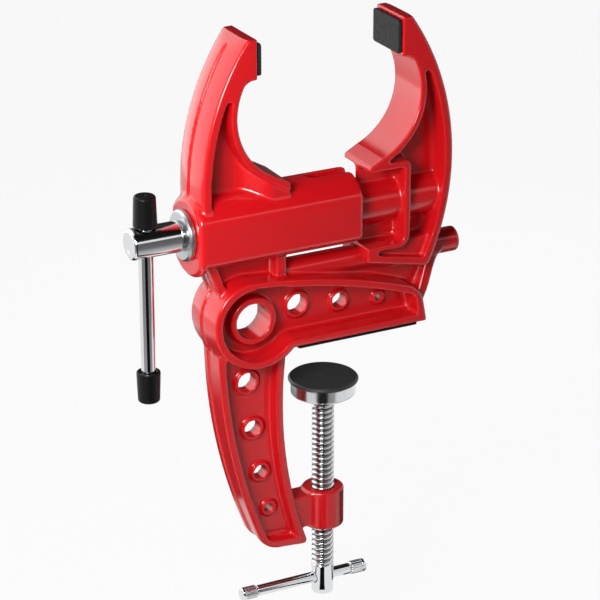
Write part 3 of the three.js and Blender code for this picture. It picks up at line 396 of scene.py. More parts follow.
def arc_centre(start, end, radius):
    """Centre of the circle of a radius through two points, on the left of the way between them."""
    da, db = end[0] - start[0], end[1] - start[1]
    rise = math.sqrt((radius / math.hypot(da, db)) ** 2 - 0.25)
    return (start[0] + end[0]) / 2 - db * rise, (start[1] + end[1]) / 2 + da * rise


def ease(t):
    """A smooth step from 0 to 1: three t squared less two t cubed."""
    t = np.clip(t, 0, 1)
    return t * t * (3 - 2 * t)


def trench(y, width, depth, wall=0.8):
    """A channel along the middle of a face: its depth, fading over the walls."""
    return depth * ease((width / 2 + wall / 2 - np.abs(y)) / wall)


def crest(y, half, height):
    """A crowned face: its height less the square of the share of the half width."""
    return height * (1 - np.clip(np.abs(y) / half, 0, 1) ** 2)


JAW_CENTRE = arc_centre(JAW_FOOT, JAW_TOP, JAW_RADIUS)
BRACKET_CENTRE = arc_centre(*BRACKET_TOP, BRACKET_RADIUS)
OUTER_CENTRE = arc_centre(*ARM_OUTER)
INNER_CENTRE = arc_centre(*ARM_INNER)


def jaw_fields(u, y, z):
    """Fields that both jaws share, in reach from the mouth's middle: the outer arc, the crowned and grooved face on
    it with its tip, the mouth as the web sees it, and the opening that cuts it out in front."""
    outer = circle(u, z, JAW_CENTRE, JAW_RADIUS)
    relief = crest(y, JAW_HALF, JAW_CROWN) - trench(y, *JAW_GROOVE) * ease((GROOVE_TOP_Z - z) / GROOVE_RUNOUT)
    bevel = ((u - TIP_BEVEL_REACH) + (z - JAW_TOP[1])) / math.sqrt(2)
    crown = within(TIP, outer - relief, z - JAW_TOP[1], bevel)
    ring = circle(u, z, MOUTH, MOUTH_RADIUS)
    below = overlap(edge(u, z, LIP, LIP_ARC_END), u - LIP_ARC_END[0], z - MOUTH[1])
    opening = np.minimum(within(TIP_FOOT_ROUND, ring, z - TIP_FOOT_Z), below)
    front = overlap(u - TIP_REACH, MOUTH[1] - z)
    return outer, crown, np.minimum(ring, below), joined(MOUTH_ROUND, opening, front)


def moving_jaw_field(x, y, z):
    """The sliding jaw: a plate with rounded edges less its pockets, plus the round bar, less rail, nut and pin."""
    ay = np.abs(y)
    u = x - MOUTH_X
    outer, crown, mouth, opening = jaw_fields(u, y, z)
    left = np.where(z > SPINDLE_Z, LIP[0] - u, SOLE[0][0] - x)
    sole = edge(x, z, *SOLE)
    plate = within(EDGE, within(TIP, within(SOLE_ROUND, crown, sole), -opening, left), ay - JAW_HALF)
    corner = joined(RIB_FILLET, RIB_X - x, SHELF_Z + RIB_THICKNESS - z)
    pocket = within(
        POCKET, outer + JAW_FLANGE, z - POCKET_TOP_Z, MOUTH_FLANGE - mouth, corner, SADDLE_TOP_Z - z, WEB_HALF - ay)
    roof = joined(SADDLE_FILLET, RIB_X - x, z - SADDLE_TOP_Z + SADDLE_ROOF)
    recess = within(
        RECESS_ROUND, outer + JAW_FLANGE, sole + SOLE_FLANGE, FOOT_HEAD_X - x, roof, z - RECESS_TOP_Z,
        SADDLE_HALF - ay)
    rib_back = within(RIB_BACK_ROUND, x - RIB_X + RIB_THICKNESS, SADDLE_TOP_Z - z)
    body = less(RIM, plate, pocket, recess, within(RIB_BACK_POCKET, rib_back, z - SHELF_Z, WEB_HALF - ay))
    axle = np.hypot(y, z - SPINDLE_Z)
    bar = within(BAR_ROUND, axle - BAR_RADIUS, BAR_X[0] - x, x - BAR_X[1])
    body = joined(BAR_FILLET, body, overlap(bar, outer + BAR_COVER))
    rail = np.minimum(np.hypot(y, z - RAIL_Z), overlap(ay, z - RAIL_Z + RAIL_RADIUS)) - RAIL_RADIUS - SLIDE_GAP
    seat = within(NUT_SEAT_ROUND, axle - NUT_SEAT_RADIUS, x - NUT_SEAT_X)
    hollow = overlap(axle - HOLLOW_RADIUS, x - HOLLOW_X)
    pin = overlap(np.hypot(x - NUT_PIN_X, y) - NUT_PIN_RADIUS, SPINDLE_Z - z)
    return less(JAW_BORE_RIM, body, rail, seat, hollow, pin)


def fixed_jaw_field(x, y, z):
    """The fixed jaw: a plate with rounded edges less its pocket, the web widening to a ramp under the lip."""
    ay = np.abs(y)
    u = MOUTH_X - x
    outer, crown, mouth, opening = jaw_fields(u, y, z)
    plate = within(EDGE, within(TIP, crown, -opening, LIP[0] - u, SPINDLE_Z - z), ay - JAW_HALF)
    web = WEB_HALF + RAMP_RISE * ease((RAMP_REACH[1] - u) / (RAMP_REACH[1] - RAMP_REACH[0]))
    pocket = within(POCKET, outer + JAW_FLANGE, z - POCKET_TOP_Z, MOUTH_FLANGE - mouth, web - ay)
    return less(RIM, plate, pocket)


def barrel_field(x, y, z):
    """The guide barrel: a round section with flat sides and a chin, deeper at its left end."""
    ay = np.abs(y)
    side = ay - BARREL_HALF
    upper = within(BARREL_ROUND, np.hypot(y, z - SPINDLE_Z) - BARREL_RADIUS, side)
    chin = within(CHIN_ROUND, BARREL_CHIN[1] - z, x - BARREL_X[1])
    lower = within(CHEEK_ROUND, side, chin, edge(ay, z, BARREL_CHIN, BARREL_CHEEK))
    tube = within(BARREL_END_ROUNDS[1], np.where(z > SPINDLE_Z, upper, lower), x - BARREL_X[1])
    plate = within(BARREL_ROUND, np.hypot(y, z - END_PLATE_Z) - BARREL_RADIUS, side)
    plate = within(BARREL_ROUND, plate, x - END_PLATE_X)
    return within(BARREL_END_ROUNDS[0], np.minimum(tube, plate), BARREL_X[0] - x)


def guide_field(x, y, z):
    """What holds the barrel and the rail: grooved column, front rib, slanting strut, and a web between them."""
    ay = np.abs(y)
    column_face = -edge(x, z, COLUMN[1], COLUMN[0])
    span = overlap(z - GUIDE_Z[1], GUIDE_Z[0] - z)
    column = overlap(column_face + trench(y, *BACK_GROOVE), -column_face - COLUMN_FLANGE, span)
    rib = overlap(GUIDE_RIB_X[0] - x, x - GUIDE_RIB_X[1], span)
    upright = within(EDGE, np.minimum(column, rib), ay - RIB_HALF)
    strut_face = edge(x, z, STRUT[1], STRUT[0])
    half = STRUT_HALF + STRUT_SPREAD * ease((STRUT_NECK_Z - z) / STRUT_RUN)
    strut = within(EDGE, strut_face, -strut_face - STRUT_THICKNESS, ay - half)
    strut = overlap(strut, z - RAIL_Z, STRUT[1][1] - z)
    web_top = np.where(x < RAIL_X[0], z - GUIDE_Z[1], z - RAIL_Z)
    web = overlap(
        column_face + GUIDE_WEB_INSET[0], strut_face + GUIDE_WEB_INSET[1], web_top, GUIDE_WEB_Z - z, ay - WEB_HALF)
    rail = within(EDGE, np.hypot(y, z - RAIL_Z) - RAIL_RADIUS, x - RAIL_X[1])
    return joined(GUIDE_FILLET, upright, web, overlap(rail, RAIL_X[0] - x), strut)


def drum_shoulder():
    """Centre and end angles of the rounding between the bracket's arched top and the drum's left side: it lies
    where circles of the two radii, each less the rounding's, cross."""
    from_arc, from_drum = BRACKET_RADIUS - SHOULDER_RADIUS, DRUM_RADIUS - SHOULDER_RADIUS
    dx, dz = DRUM[0] - BRACKET_CENTRE[0], DRUM[1] - BRACKET_CENTRE[1]
    span = math.hypot(dx, dz)
    along = (from_arc ** 2 - from_drum ** 2 + span ** 2) / (2 * span)
    across = math.sqrt(from_arc ** 2 - along ** 2)
    x = BRACKET_CENTRE[0] + (dx * along - dz * across) / span
    z = BRACKET_CENTRE[1] + (dz * along + dx * across) / span
    top_turn = math.atan2(z - BRACKET_CENTRE[1], x - BRACKET_CENTRE[0])
    return (x, z), top_turn, math.atan2(z - DRUM[1], x - DRUM[0])


SHOULDER, SHOULDER_TOP, SHOULDER_LEFT = drum_shoulder()


def bracket_fields(x, z):
    """The bracket's outline, its pocket, its drum and its floor: arched top, leaning end and drum as one shape."""
    top = circle(x, z, BRACKET_CENTRE, BRACKET_RADIUS)
    end = (x - BRACKET_END_X) * math.cos(BRACKET_LEAN) + (z - FLOOR_Z) * math.sin(BRACKET_LEAN)
    floor = FLOOR_Z - z
    drum = circle(x, z, DRUM, DRUM_RADIUS)
    shoulder = circle(x, z, SHOULDER, SHOULDER_RADIUS)
    turn = np.arctan2(z - SHOULDER[1], x - SHOULDER[0])
    left = (x - SHOULDER[0]) * math.sin(SHOULDER_TOP) < (z - SHOULDER[1]) * math.cos(SHOULDER_TOP)
    round_left = np.where((turn > SHOULDER_TOP) & (turn < SHOULDER_LEFT), shoulder, drum)
    round_right = overlap(drum, top)
    right = np.minimum(round_right, within(FLOOR_ROUND, within(BRACKET_CORNER, top, end), floor))
    t = BRACKET_FLANGE
    right_pocket = joined(DRUM_FILLET, round_right + t, within(END_POCKET, top + t, end + t, floor + t))
    return np.where(left, round_left, right), np.where(left, round_left + t, right_pocket), drum, floor


def base_fields(x, y, z):
    """The bracket and the arm as one body less their pockets, and the bracket's outline."""
    ay = np.abs(y)
    outline, hollow, drum, floor = bracket_fields(x, z)
    lift = np.where(z > DRUM[1], ease((CROWN_X[1] - x) / (CROWN_X[1] - CROWN_X[0])), 1.0)
    relief = (crest(y, BRACKET_HALF, BRACKET_CROWN) - trench(y - BRACKET_GROOVE_Y, *BRACKET_GROOVE)) * lift
    bracket = within(EDGE, outline - relief * (floor < 0), ay - BRACKET_HALF)
    arm_out = circle(x, z, OUTER_CENTRE, ARM_OUTER[2])
    arm_in = -circle(x, z, INNER_CENTRE, ARM_INNER[2])
    foot = (ARM_FOOT[0] - x) * math.sin(ARM_LEAN) + (ARM_FOOT[1] - z) * math.cos(ARM_LEAN)
    arm = within(TOE_ROUND, within(HEEL_ROUND, arm_out + trench(y, *BACK_GROOVE), foot), arm_in)
    throat = overlap(
        joined(THROAT_ROUND, arm_in, floor), x - THROAT_X[1], THROAT_X[0] - x, z - THROAT_Z[1], THROAT_Z[0] - z)
    arm = within(EDGE, np.minimum(overlap(arm, z - ARM_TOP_Z), throat), ay - ARM_HALF)
    arm_pocket = within(
        POCKET, arm_out + ARM_FLANGE, arm_in + ARM_FLANGE, foot + ARM_FLANGE, -drum, z - ARM_POCKET_TOP_Z,
        WEB_HALF - ay)
    bracket_pocket = within(POCKET, hollow, WEB_HALF - ay)
    return less(RIM, joined(SMALL_FILLET, bracket, arm), arm_pocket, bracket_pocket), outline


def screw_boss_field(x, y, z):
    """The clamp screw's boss: an upright cylinder on a neck that reaches into the arm."""
    boss = within(BOSS_ROUND, np.hypot(x, y) - BOSS_RADIUS, BOSS_Z[0] - z, z - BOSS_Z[1])
    inner = circle(x, z, INNER_CENTRE, ARM_INNER[2]) - NECK_SUNK
    neck = within(TIP, overlap(inner, x), np.abs(y) - NECK_HALF, NECK_Z[0] - z, z - NECK_Z[1])
    return joined(SMALL_FILLET, boss, neck)


def frame_field(x, y, z):
    """The frame casting: jaw on barrel, guide on base, rings and bosses, all joined with fillets, less the bores."""
    ay = np.abs(y)
    head = joined(FILLET, fixed_jaw_field(x, y, z), barrel_field(x, y, z))
    base, outline = base_fields(x, y, z)
    travel = np.minimum(np.minimum(ay - RAIL_RADIUS - TRAVEL_GAP, z - TRAVEL_Z), x - TRAVEL_X)
    base = joined(FILLET, base, overlap(guide_field(x, y, z), -outline - GUIDE_SUNK, travel))
    for ring_x, ring_z, bore in RINGS:
        wall = circle(x, z, (ring_x, ring_z), bore / 2 + RING_WALL)
        base = joined(SMALL_FILLET, base, within(RING_ROUND, wall, ay - RING_HALF))
    drum_boss = within(EDGE, circle(x, z, DRUM_BOSS, DRUM_BOSS_RADIUS), ay - DRUM_BOSS_HALF)
    base = joined(FILLET, joined(FILLET, base, drum_boss), screw_boss_field(x, y, z))
    body = joined(FILLET, head, base)
    for ring_x, ring_z, bore in RINGS:
        body = less(RING_RIM, body, circle(x, z, (ring_x, ring_z), bore / 2))
    body = less(DRUM_RIM, body, circle(x, z, DRUM_BOSS, DRUM_BORE))
    axle = np.hypot(y, z - SPINDLE_Z)
    bore = overlap(axle - BAR_RADIUS - SLIDE_GAP, BORE_X - x)
    hub = overlap(axle - HUB_RADIUS, x)
    slot_end = np.hypot(x - SLOT_X, y) - SLOT_HALF
    slot = overlap(np.minimum(slot_end, overlap(SLOT_X - x, ay - SLOT_HALF)), SLOT_FOOT_Z - z)
    thread = overlap(np.hypot(x, y) - BOSS_BORE, z - BOSS_BORE_Z)
    return less(BORE_RIM, body, bore, hub, slot, thread)


def pad_field(low, high, grain):
    """A rubber block: a box with rounded edges, its faces pitted by a fine wave in two directions."""
    middle, half = (np.array(high) + low) / 2, (np.array(high) - low) / 2

    def field(x, y, z):
        sides = within(PAD_CORNER, np.abs(y - middle[1]) - half[1], np.abs(z - middle[2]) - half[2])
        block = within(PAD_EDGE, sides, np.abs(x - middle[0]) - half[0])
        return block + grain * (0.5 + 0.5 * np.sin(y * PAD_WAVES[0]) * np.sin(z * PAD_WAVES[1]))

    return field


def strip_field(x, y, z):
    """The bench strip: a flat box whose upright edges are rounded more than its rims."""
    half = (STRIP_X[1] - STRIP_X[0]) / 2
    side = within(STRIP_CORNER, np.abs(x - sum(STRIP_X) / 2) - half, np.abs(y) - STRIP_HALF)
    return within(STRIP_EDGE, side, np.abs(z - STRIP_THICKNESS / 2) - STRIP_THICKNESS / 2)


def spindle_head_field(x, y, z):
    """The spindle's head: a cylinder with a dished end, a shank behind it, and a cross hole for the T-bar."""
    axle = np.hypot(y, z - SPINDLE_Z)
    head = within(HEAD_EDGE, within(HEAD_ROUND, axle - HEAD_RADIUS, HEAD_X[0] - x), x - HEAD_X[1])
    dish = np.hypot(axle, x - HEAD_X[0] + DISH_RADIUS) - DISH_RADIUS - DISH_DEPTH
    shank = overlap(axle - SHANK_RADIUS, SHANK_X[0] - x, x - SHANK_X[1])
    body = joined(HEAD_EDGE, less(HEAD_EDGE, head, dish), shank)
    return less(HEAD_HOLE_RIM, body, np.hypot(x - T_BAR_X, y) - T_BAR_RADIUS - CROSS_HOLE_GAP)


def screw_foot_field(x, y, z):
    """The clamp screw's foot: a plain rod with a cross hole for the T-bar."""
    rod = within(SCREW_ROUND, np.hypot(x, y) - SHANK_RADIUS, SCREW_Z[0] - z, z - SCREW_Z[1])
    return less(SCREW_HOLE_RIM, rod, np.hypot(y, z - CLAMP_BAR_Z) - CLAMP_BAR_RADIUS - CROSS_HOLE_GAP)


def unit(vectors):
    """Vectors brought to a length of one."""
    return vectors / np.maximum(np.linalg.norm(vectors, axis=1), TINY)[:, None]


def slopes(field, points, step=MOVE_STEP):
    """The field's gradient at points, from central differences."""
    result = np.empty_like(points)
    for axis in range(3):
        shift = step * np.eye(3)[axis]
        result[:, axis] = field(*(points + shift).T) - field(*(points - shift).T)
    return result / (2 * step)


def settle(field, points, cell, rounds):
    """Moves points along the gradient until the field is nought there, in each round less than half a cell."""
    for _ in range(rounds):
        gradient = slopes(field, points)
        size = np.maximum((gradient ** 2).sum(1), LEAST_SLOPE)
        move = gradient * (field(*points.T) / size)[:, None]
        length = np.linalg.norm(move, axis=1)
        points = points - move * np.minimum(1, LONGEST_MOVE * cell / np.maximum(length, TINY))[:, None]
    return points


def net(field, low, high, cell):
    """The surface where a field is nought: one vertex in each crossed cell, at the mean of where the cell's edges
    are crossed, and one quad round each crossed edge."""
    axes = [np.arange(a - NET_ROOM[0] * cell, b + NET_ROOM[1] * cell, cell) for a, b in zip(low, high)]
    values = np.asarray(field(axes[0][:, None, None], axes[1][None, :, None], axes[2][None, None, :]))
    inside = values < 0
    shape = tuple(n - 1 for n in values.shape)
    corners = [(i, j, k) for i in (0, 1) for j in (0, 1) for k in (0, 1)]
    count = sum(inside[i:shape[0] + i, j:shape[1] + j, k:shape[2] + k].astype(np.int8) for i, j, k in corners)
    cells = np.argwhere((count > 0) & (count < 8))
    number = np.full(shape, -1, np.int64)
    number[tuple(cells.T)] = np.arange(len(cells))
    total, crossings = np.zeros((len(cells), 3)), np.zeros(len(cells))
    for a, axis in [(a, axis) for a in corners for axis in range(3) if not a[axis]]:
        way = np.eye(3, dtype=int)[axis]
        at_a, at_b = values[tuple((cells + a).T)], values[tuple((cells + a + way).T)]
        crossed = (at_a < 0) != (at_b < 0)
        share = np.where(crossed, at_a / np.where(crossed, at_a - at_b, 1), 0)
        total += np.where(crossed[:, None], np.array(a, float) + share[:, None] * way, 0)
        crossings += crossed
    points = np.array([places[0] for places in axes]) + (cells + total / crossings[:, None]) * cell
    quads = []
    for axis in range(3):
        one, two = [a for a in range(3) if a != axis]
        ahead = np.roll(inside, -1, axis) != inside
        edges = np.argwhere(ahead[tuple(slice(1, n - 1) for n in values.shape)]) + 1
        ring = []
        for da, db in ((0, 0), (1, 0), (1, 1), (0, 1)):
            at = edges.copy()
            at[:, one] -= da
            at[:, two] -= db
            ring.append(number[tuple(at.T)])
        quad = np.stack(ring, 1)
        flip = inside[tuple(edges.T)] != (axis == 1)
        quads.append(np.where(flip[:, None], quad[:, ::-1], quad))
    return points, np.concatenate(quads)


def relax(points, quads):
    """The way from each vertex to the mean of its neighbours."""
    ends = np.concatenate([quads[:, [a, (a + 1) % 4]] for a in range(4)])
    ends = np.concatenate([ends, ends[:, ::-1]])
    near = np.bincount(ends[:, 0], minlength=len(points))
    mean = np.stack([np.bincount(ends[:, 0], points[ends[:, 1], axis], len(points)) for axis in range(3)], 1)
    return mean / np.maximum(near, 1)[:, None] - points


def cast_surface(name, field, low, high, cell):
    """A casting's skin: the net of its field, evened out along the surface and settled on it again."""
    points, quads = net(field, low, high, cell)
    points = settle(field, points, cell, 2)
    for _ in range(2):
        normal = unit(slopes(field, points))
        move = relax(points, quads) / 2
        points = settle(field, points + move - normal * (move * normal).sum(1)[:, None], cell, 1)
    return make_object(name, points, [quads], unit(slopes(field, points, SHADE_STEP)))


def make_object(name, points, blocks, normals=None):
    """A mesh object from points in millimetres and blocks of faces, one for each number of corners. The faces are
    turned outwards by the sign of their volume, and the normals by which way they point against the faces."""
    mesh = bpy.data.meshes.new(name)
    corners = np.concatenate([block.ravel() for block in blocks])
    sizes = np.concatenate([np.full(len(block), block.shape[1]) for block in blocks])
    mesh.vertices.add(len(points))
    mesh.vertices.foreach_set("co", (points * MM).astype(np.float32).ravel())
    mesh.loops.add(len(corners))
    mesh.loops.foreach_set("vertex_index", corners.astype(np.int32))
    mesh.polygons.add(len(sizes))
    mesh.polygons.foreach_set("loop_start", (np.cumsum(sizes) - sizes).astype(np.int32))
    mesh.update(calc_edges=True)
    rows = np.concatenate([block[:, :3] for block in blocks]).T
    first, second, third = points[rows]
    across = np.cross(second - first, third - first)
    volume = (across * first).sum()
    if volume < 0:
        mesh.flip_normals()
    mesh.polygons.foreach_set("use_smooth", np.ones(len(sizes), bool))
    mesh.update()
    mesh.validate()
    if normals is not None:
        side = np.sign((across * normals[rows].sum(0)).sum() * volume)
        mesh.normals_split_custom_set_from_vertices((normals * side).tolist())
    made = bpy.data.objects.new(name, mesh)
    bpy.context.scene.collection.objects.link(made)
    return made


def rounded(profile, radius, closed, steps=4):
    """A profile with each corner turned into an arc, and the normal on its right at every point."""
    points = [np.array(p, float) for p in profile]
    out, normals = [], []

    def side(a, b):
        d = b - a
        return np.array([d[1], -d[0]]) / max(np.linalg.norm(d), TINY)

    for i, p in enumerate(points):
        before, after = points[i - 1], points[(i + 1) % len(points)]
        if not closed and i in (0, len(points) - 1):
            out.append(p)
            normals.append(side(before, p) if i else side(p, after))
            continue
        one, two = side(before, p), side(p, after)
        turn = math.acos(float(np.clip(one @ two, -1, 1)))
        length = min(np.linalg.norm(p - before), np.linalg.norm(after - p)) * CORNER_SHARE
        size = min(radius, length / max(math.tan(turn / 2), 1e-6))
        back = (before - p) / np.linalg.norm(before - p) * size * math.tan(turn / 2)
        bend = 1 if one[0] * two[1] - one[1] * two[0] > 0 else -1
        angle = math.atan2(one[1], one[0]) + bend * turn * np.arange(steps + 1) / steps
        arc = np.stack([np.cos(angle), np.sin(angle)], 1)
        out.extend(p + back - one * size * bend + arc * size * bend)
        normals.extend(arc)
    return np.array(out), np.array(normals)


def turns(sides):
    """Equal turns round an axis, in radians."""
    return np.arange(sides) * 2 * math.pi / sides


def ringed(name, places, reach, axis, centre, closed=False, tilt=None):
    """Rings across an axis, one at each place, with faces between neighbours. Reach is the radius at each place and
    turn, and a ring of no reach is one pole vertex. Tilt is each ring's normal, out and along."""
    across, up, along = np.array(AXES[axis], float)
    turn = turns(reach.shape[1])
    spoke = np.cos(turn)[:, None] * across + np.sin(turn)[:, None] * up
    pole = reach.max(1) < 1e-6
    kept = ~pole[:, None] | (np.arange(len(turn)) == 0)
    number = kept.ravel().cumsum().reshape(kept.shape) - 1
    points = (np.array(centre, float) + spoke * reach[..., None] + along * places[:, None, None])[kept]
    end = len(places) if closed else len(places) - 1
    one, two = number[:end], np.roll(number, -1, 0)[:end]
    quads = np.stack([one, two, np.roll(two, -1, 1), np.roll(one, -1, 1)], -1)
    from_pole, to_pole = pole[:end], np.roll(pole, -1)[:end]
    blocks = [
        quads[~from_pole & ~to_pole].reshape(-1, 4), quads[from_pole & ~to_pole][..., :3].reshape(-1, 3),
        quads[~from_pole & to_pole][..., [0, 1, 3]].reshape(-1, 3)]
    if tilt is None:
        return make_object(name, points, blocks)
    out, forth = tilt[:, :1, None], tilt[:, 1:, None]
    at_pole = pole[:, None, None]
    normals = spoke * np.where(at_pole, 0, out) + along * np.where(at_pole, np.sign(forth), forth)
    return make_object(name, points, blocks, unit(normals[kept]))


def make_turned(*names):
    """Turned pieces from their rows in the table: each profile, its corners rounded, is carried round the axis."""
    for name in names:
        axis, centre, sides, corner, closed, profile, *look = TURNED[name]
        line, tilt = rounded(profile, corner, closed)
        reach = np.repeat(np.maximum(line[:, :1], 0), sides, 1)
        dress(ringed(name, line[:, 1], reach, axis, centre, closed, tilt), *look)


def threaded(name, start, end, depth, pitch, axis, centre, sides=64, plain=2.0):
    """A screw: its radius falls by the depth times a flat-topped wave of (place / pitch - turn), fading over the
    plain length at each end, where a chamfer leads down to the root."""
    places = np.arange(start, end + pitch / THREAD_STEPS / 2, pitch / THREAD_STEPS)
    places[-1] = end
    phase = (places[:, None] / pitch - turns(sides) / (2 * math.pi)) % 1.0
    wave = ease((0.5 - np.abs(phase - 0.5)) * THREAD_FLANK - THREAD_ROOT)
    fade = ease(np.minimum(places - start, end - places) / plain)[:, None]
    root = SHANK_RADIUS - depth
    reach = np.pad(SHANK_RADIUS - depth * (1 - wave) * fade, ((1, 1), (0, 0)), constant_values=root)
    places = np.concatenate([[start - depth / 2] * 2, places, [end + depth / 2] * 2])
    return ringed(name, places, np.pad(reach, ((1, 1), (0, 0))), axis, centre)


def splined(name, start, way, depth, centre):
    """A grip: its radius falls by the depth times a wave of the turn, all along but at its smooth outer end, and
    both rims are rounded by a quarter circle."""
    end = start + SLEEVE_LENGTH
    places = start + SLEEVE_LENGTH * (0.5 - 0.5 * np.cos(np.linspace(0, 1, FLUTE_ROWS) * math.pi))
    turn = turns(SLEEVE_FLUTES * FLUTE_STEPS)
    flutes = ease((np.cos(turn * SLEEVE_FLUTES) - FLUTE_CREST) * FLUTE_FLANK)
    outer = places - start if way < 0 else end - places
    rim = np.maximum(SLEEVE_ROUND - np.minimum(places - start, end - places), 0)
    rounding = SLEEVE_ROUND - np.sqrt(np.maximum(SLEEVE_ROUND ** 2 - rim ** 2, 0))
    fade = ease((outer - SLEEVE_PLAIN) / SLEEVE_FADE)[:, None]
    reach = SLEEVE_RADIUS - rounding[:, None] - depth * flutes * fade
    return ringed(name, np.array([start, *places, end]), np.pad(reach, ((1, 1), (0, 0))), "X", centre)


# Materials

def node(tree, kind, **settings):
    """A node to the right of the last one, with its properties, and the values of the sockets named after in_."""
    made = tree.nodes.new(kind)
    made.location.x = NODE_STEP * len(tree.nodes)
    for key, value in settings.items():
        if key.startswith("in_"):
            made.inputs[key[3:].replace("_", " ")].default_value = value
        else:
            setattr(made, key, value)
    return made


def wire(tree, *links):
    """Links, each given as a node and its output, then a node and its input."""
    for start, leaving, end, entering in links:
        tree.links.new(start.outputs[leaving], end.inputs[entering])


def blank(owner):
    """The owner's node tree, emptied."""
    owner.use_nodes = True
    owner.node_tree.nodes.clear()
    return owner.node_tree


def new_group(name, inputs, outputs):
    """A node group with its sockets and its two end nodes: a number makes a value input, three make a vector."""
    tree = bpy.data.node_groups.new(name, "ShaderNodeTree")
    for label, default in inputs.items():
        kind = "NodeSocketFloat" if isinstance(default, float) else "NodeSocketVector"
        tree.interface.new_socket(name=label, in_out="INPUT", socket_type=kind).default_value = default
    for label in outputs:
        tree.interface.new_socket(name=label, in_out="OUTPUT", socket_type="NodeSocketFloat")
    return tree, node(tree, "NodeGroupInput"), node(tree, "NodeGroupOutput")


@cache
def grain_group():
    """Fine grain and slow waves: one height for a bump and one mask for colour and roughness."""
    inputs = {"Vector": (0.0, 0.0, 0.0), "Grain Scale": 900.0, "Wave Scale": 60.0, "Wave Share": 0.5}
    tree, enter, leave = new_group("surface grain", inputs, ("Height", "Mask"))
    fine = node(tree, "ShaderNodeTexNoise", in_Detail=4.0, in_Roughness=0.6)
    slow = node(tree, "ShaderNodeTexNoise", in_Detail=2.0)
    mix = node(tree, "ShaderNodeMix", data_type="FLOAT")
    wire(tree, (enter, "Vector", fine, "Vector"), (enter, "Grain Scale", fine, "Scale"),
         (enter, "Vector", slow, "Vector"), (enter, "Wave Scale", slow, "Scale"),
         (enter, "Wave Share", mix, "Factor"), (fine, "Fac", mix, "A"), (slow, "Fac", mix, "B"),
         (mix, "Result", leave, "Height"), (slow, "Fac", leave, "Mask"))
    return tree


@cache
def lines_group():
    """Turning marks: fine rings across one axis, broken up by noise."""
    inputs = {"Vector": (0.0, 0.0, 0.0), "Axis": (1.0, 0.0, 0.0), "Lines per Metre": 2500.0}
    tree, enter, leave = new_group("turning marks", inputs, ("Height", "Mask"))
    dot = node(tree, "ShaderNodeVectorMath", operation="DOT_PRODUCT")
    lines = node(tree, "ShaderNodeTexNoise", noise_dimensions="1D", in_Detail=3.0)
    blotch = node(tree, "ShaderNodeTexNoise", in_Scale=120.0, in_Detail=2.0)
    wire(tree, (enter, "Vector", dot, 0), (enter, "Axis", dot, 1), (dot, "Value", lines, "W"),
         (enter, "Lines per Metre", lines, "Scale"), (enter, "Vector", blotch, "Vector"),
         (lines, "Fac", leave, "Height"), (blotch, "Fac", leave, "Mask"))
    return tree


@cache
def valley_shade_group():
    """Painted shade in a thread's valleys: a mask of the distance from the screw's axis, 0 at the root and 1 at the
    crest.
    """
    inputs = {"Vector": (0.0, 0.0, 0.0), "Axis": (0.0, 0.0, 1.0), "Centre": (0.0, 0.0, 0.0),
              "Root": 0.0063, "Crest": 0.0076}
    tree, enter, leave = new_group("thread valleys", inputs, ("Mask",))
    offset = node(tree, "ShaderNodeVectorMath", operation="SUBTRACT")
    across = node(tree, "ShaderNodeVectorMath", operation="CROSS_PRODUCT")
    radius = node(tree, "ShaderNodeVectorMath", operation="LENGTH")
    share = node(tree, "ShaderNodeMapRange")
    wire(tree, (enter, "Vector", offset, 0), (enter, "Centre", offset, 1), (offset, "Vector", across, 0),
         (enter, "Axis", across, 1), (across, "Vector", radius, 0), (radius, "Value", share, "Value"),
         (enter, "Root", share, "From Min"), (enter, "Crest", share, "From Max"), (share, "Result", leave, "Mask"))
    return tree


def finish(name, base, shares, rough, bump, grain=None, coat=(0.0, 0.05), specular=0.5, axis=None, centre=None):
    """A material: two tones mixed by the mask, roughness spread round its middle, a bump from the height, and on a
    screw a painted shade, a darker tone, in the thread's valleys."""
    made = bpy.data.materials.new(name)
    tree = blank(made)
    place = node(tree, "ShaderNodeTexCoord")
    if axis:
        marks = node(tree, "ShaderNodeGroup", node_tree=lines_group(), in_Axis=AXES[axis][2])
    else:
        marks = node(tree, "ShaderNodeGroup", node_tree=grain_group(), in_Grain_Scale=grain[0],
                     in_Wave_Scale=grain[1], in_Wave_Share=grain[2])
    # The third tone is the painted shade for a thread's valleys
    first, second, dark = ([share * v for v in base] + [1] for share in (*shares, VALLEY_SHADE_SHARE))
    tones = node(tree, "ShaderNodeMix", data_type="RGBA", in_A=first, in_B=second)
    spread = node(tree, "ShaderNodeMapRange", in_To_Min=rough[0] - rough[1], in_To_Max=rough[0] + rough[1])
    relief = node(tree, "ShaderNodeBump", in_Strength=bump, in_Distance=BUMP_HEIGHT)
    wire(tree, (place, "Object", marks, "Vector"), (marks, "Mask", tones, "Factor"), (marks, "Mask", spread, "Value"),
         (marks, "Height", relief, "Height"))
    # Painted shade: the thread's valleys are darker, by their distance from the axis
    if centre is not None:
        valleys = node(tree, "ShaderNodeGroup", node_tree=valley_shade_group(), in_Axis=AXES[axis][2], in_Centre=centre)
        valley_shaded = node(tree, "ShaderNodeMix", data_type="RGBA", in_A=dark)
        wire(tree, (place, "Object", valleys, "Vector"), (valleys, "Mask", valley_shaded, "Factor"),
             (tones, "Result", valley_shaded, "B"))
        tones = valley_shaded
    shader = node(tree, "ShaderNodeBsdfPrincipled", in_Metallic=1.0 if axis else 0.0, in_Coat_Weight=coat[0],
                  in_Coat_Roughness=coat[1], in_Specular_IOR_Level=specular)
    wire(tree, (tones, "Result", shader, "Base Color"), (spread, "Result", shader, "Roughness"),
         (relief, "Normal", shader, "Normal"), (shader, "BSDF", node(tree, "ShaderNodeOutputMaterial"), "Surface"))
    return made


@cache
def material(name):
    """A finish of this vise, made once from the colours in the panel."""
    tone, shares, rough, bump, more = FINISHES[name]
    return finish(name, getattr(bpy.context.scene.vise_colours, tone), shares, rough, bump, **more)


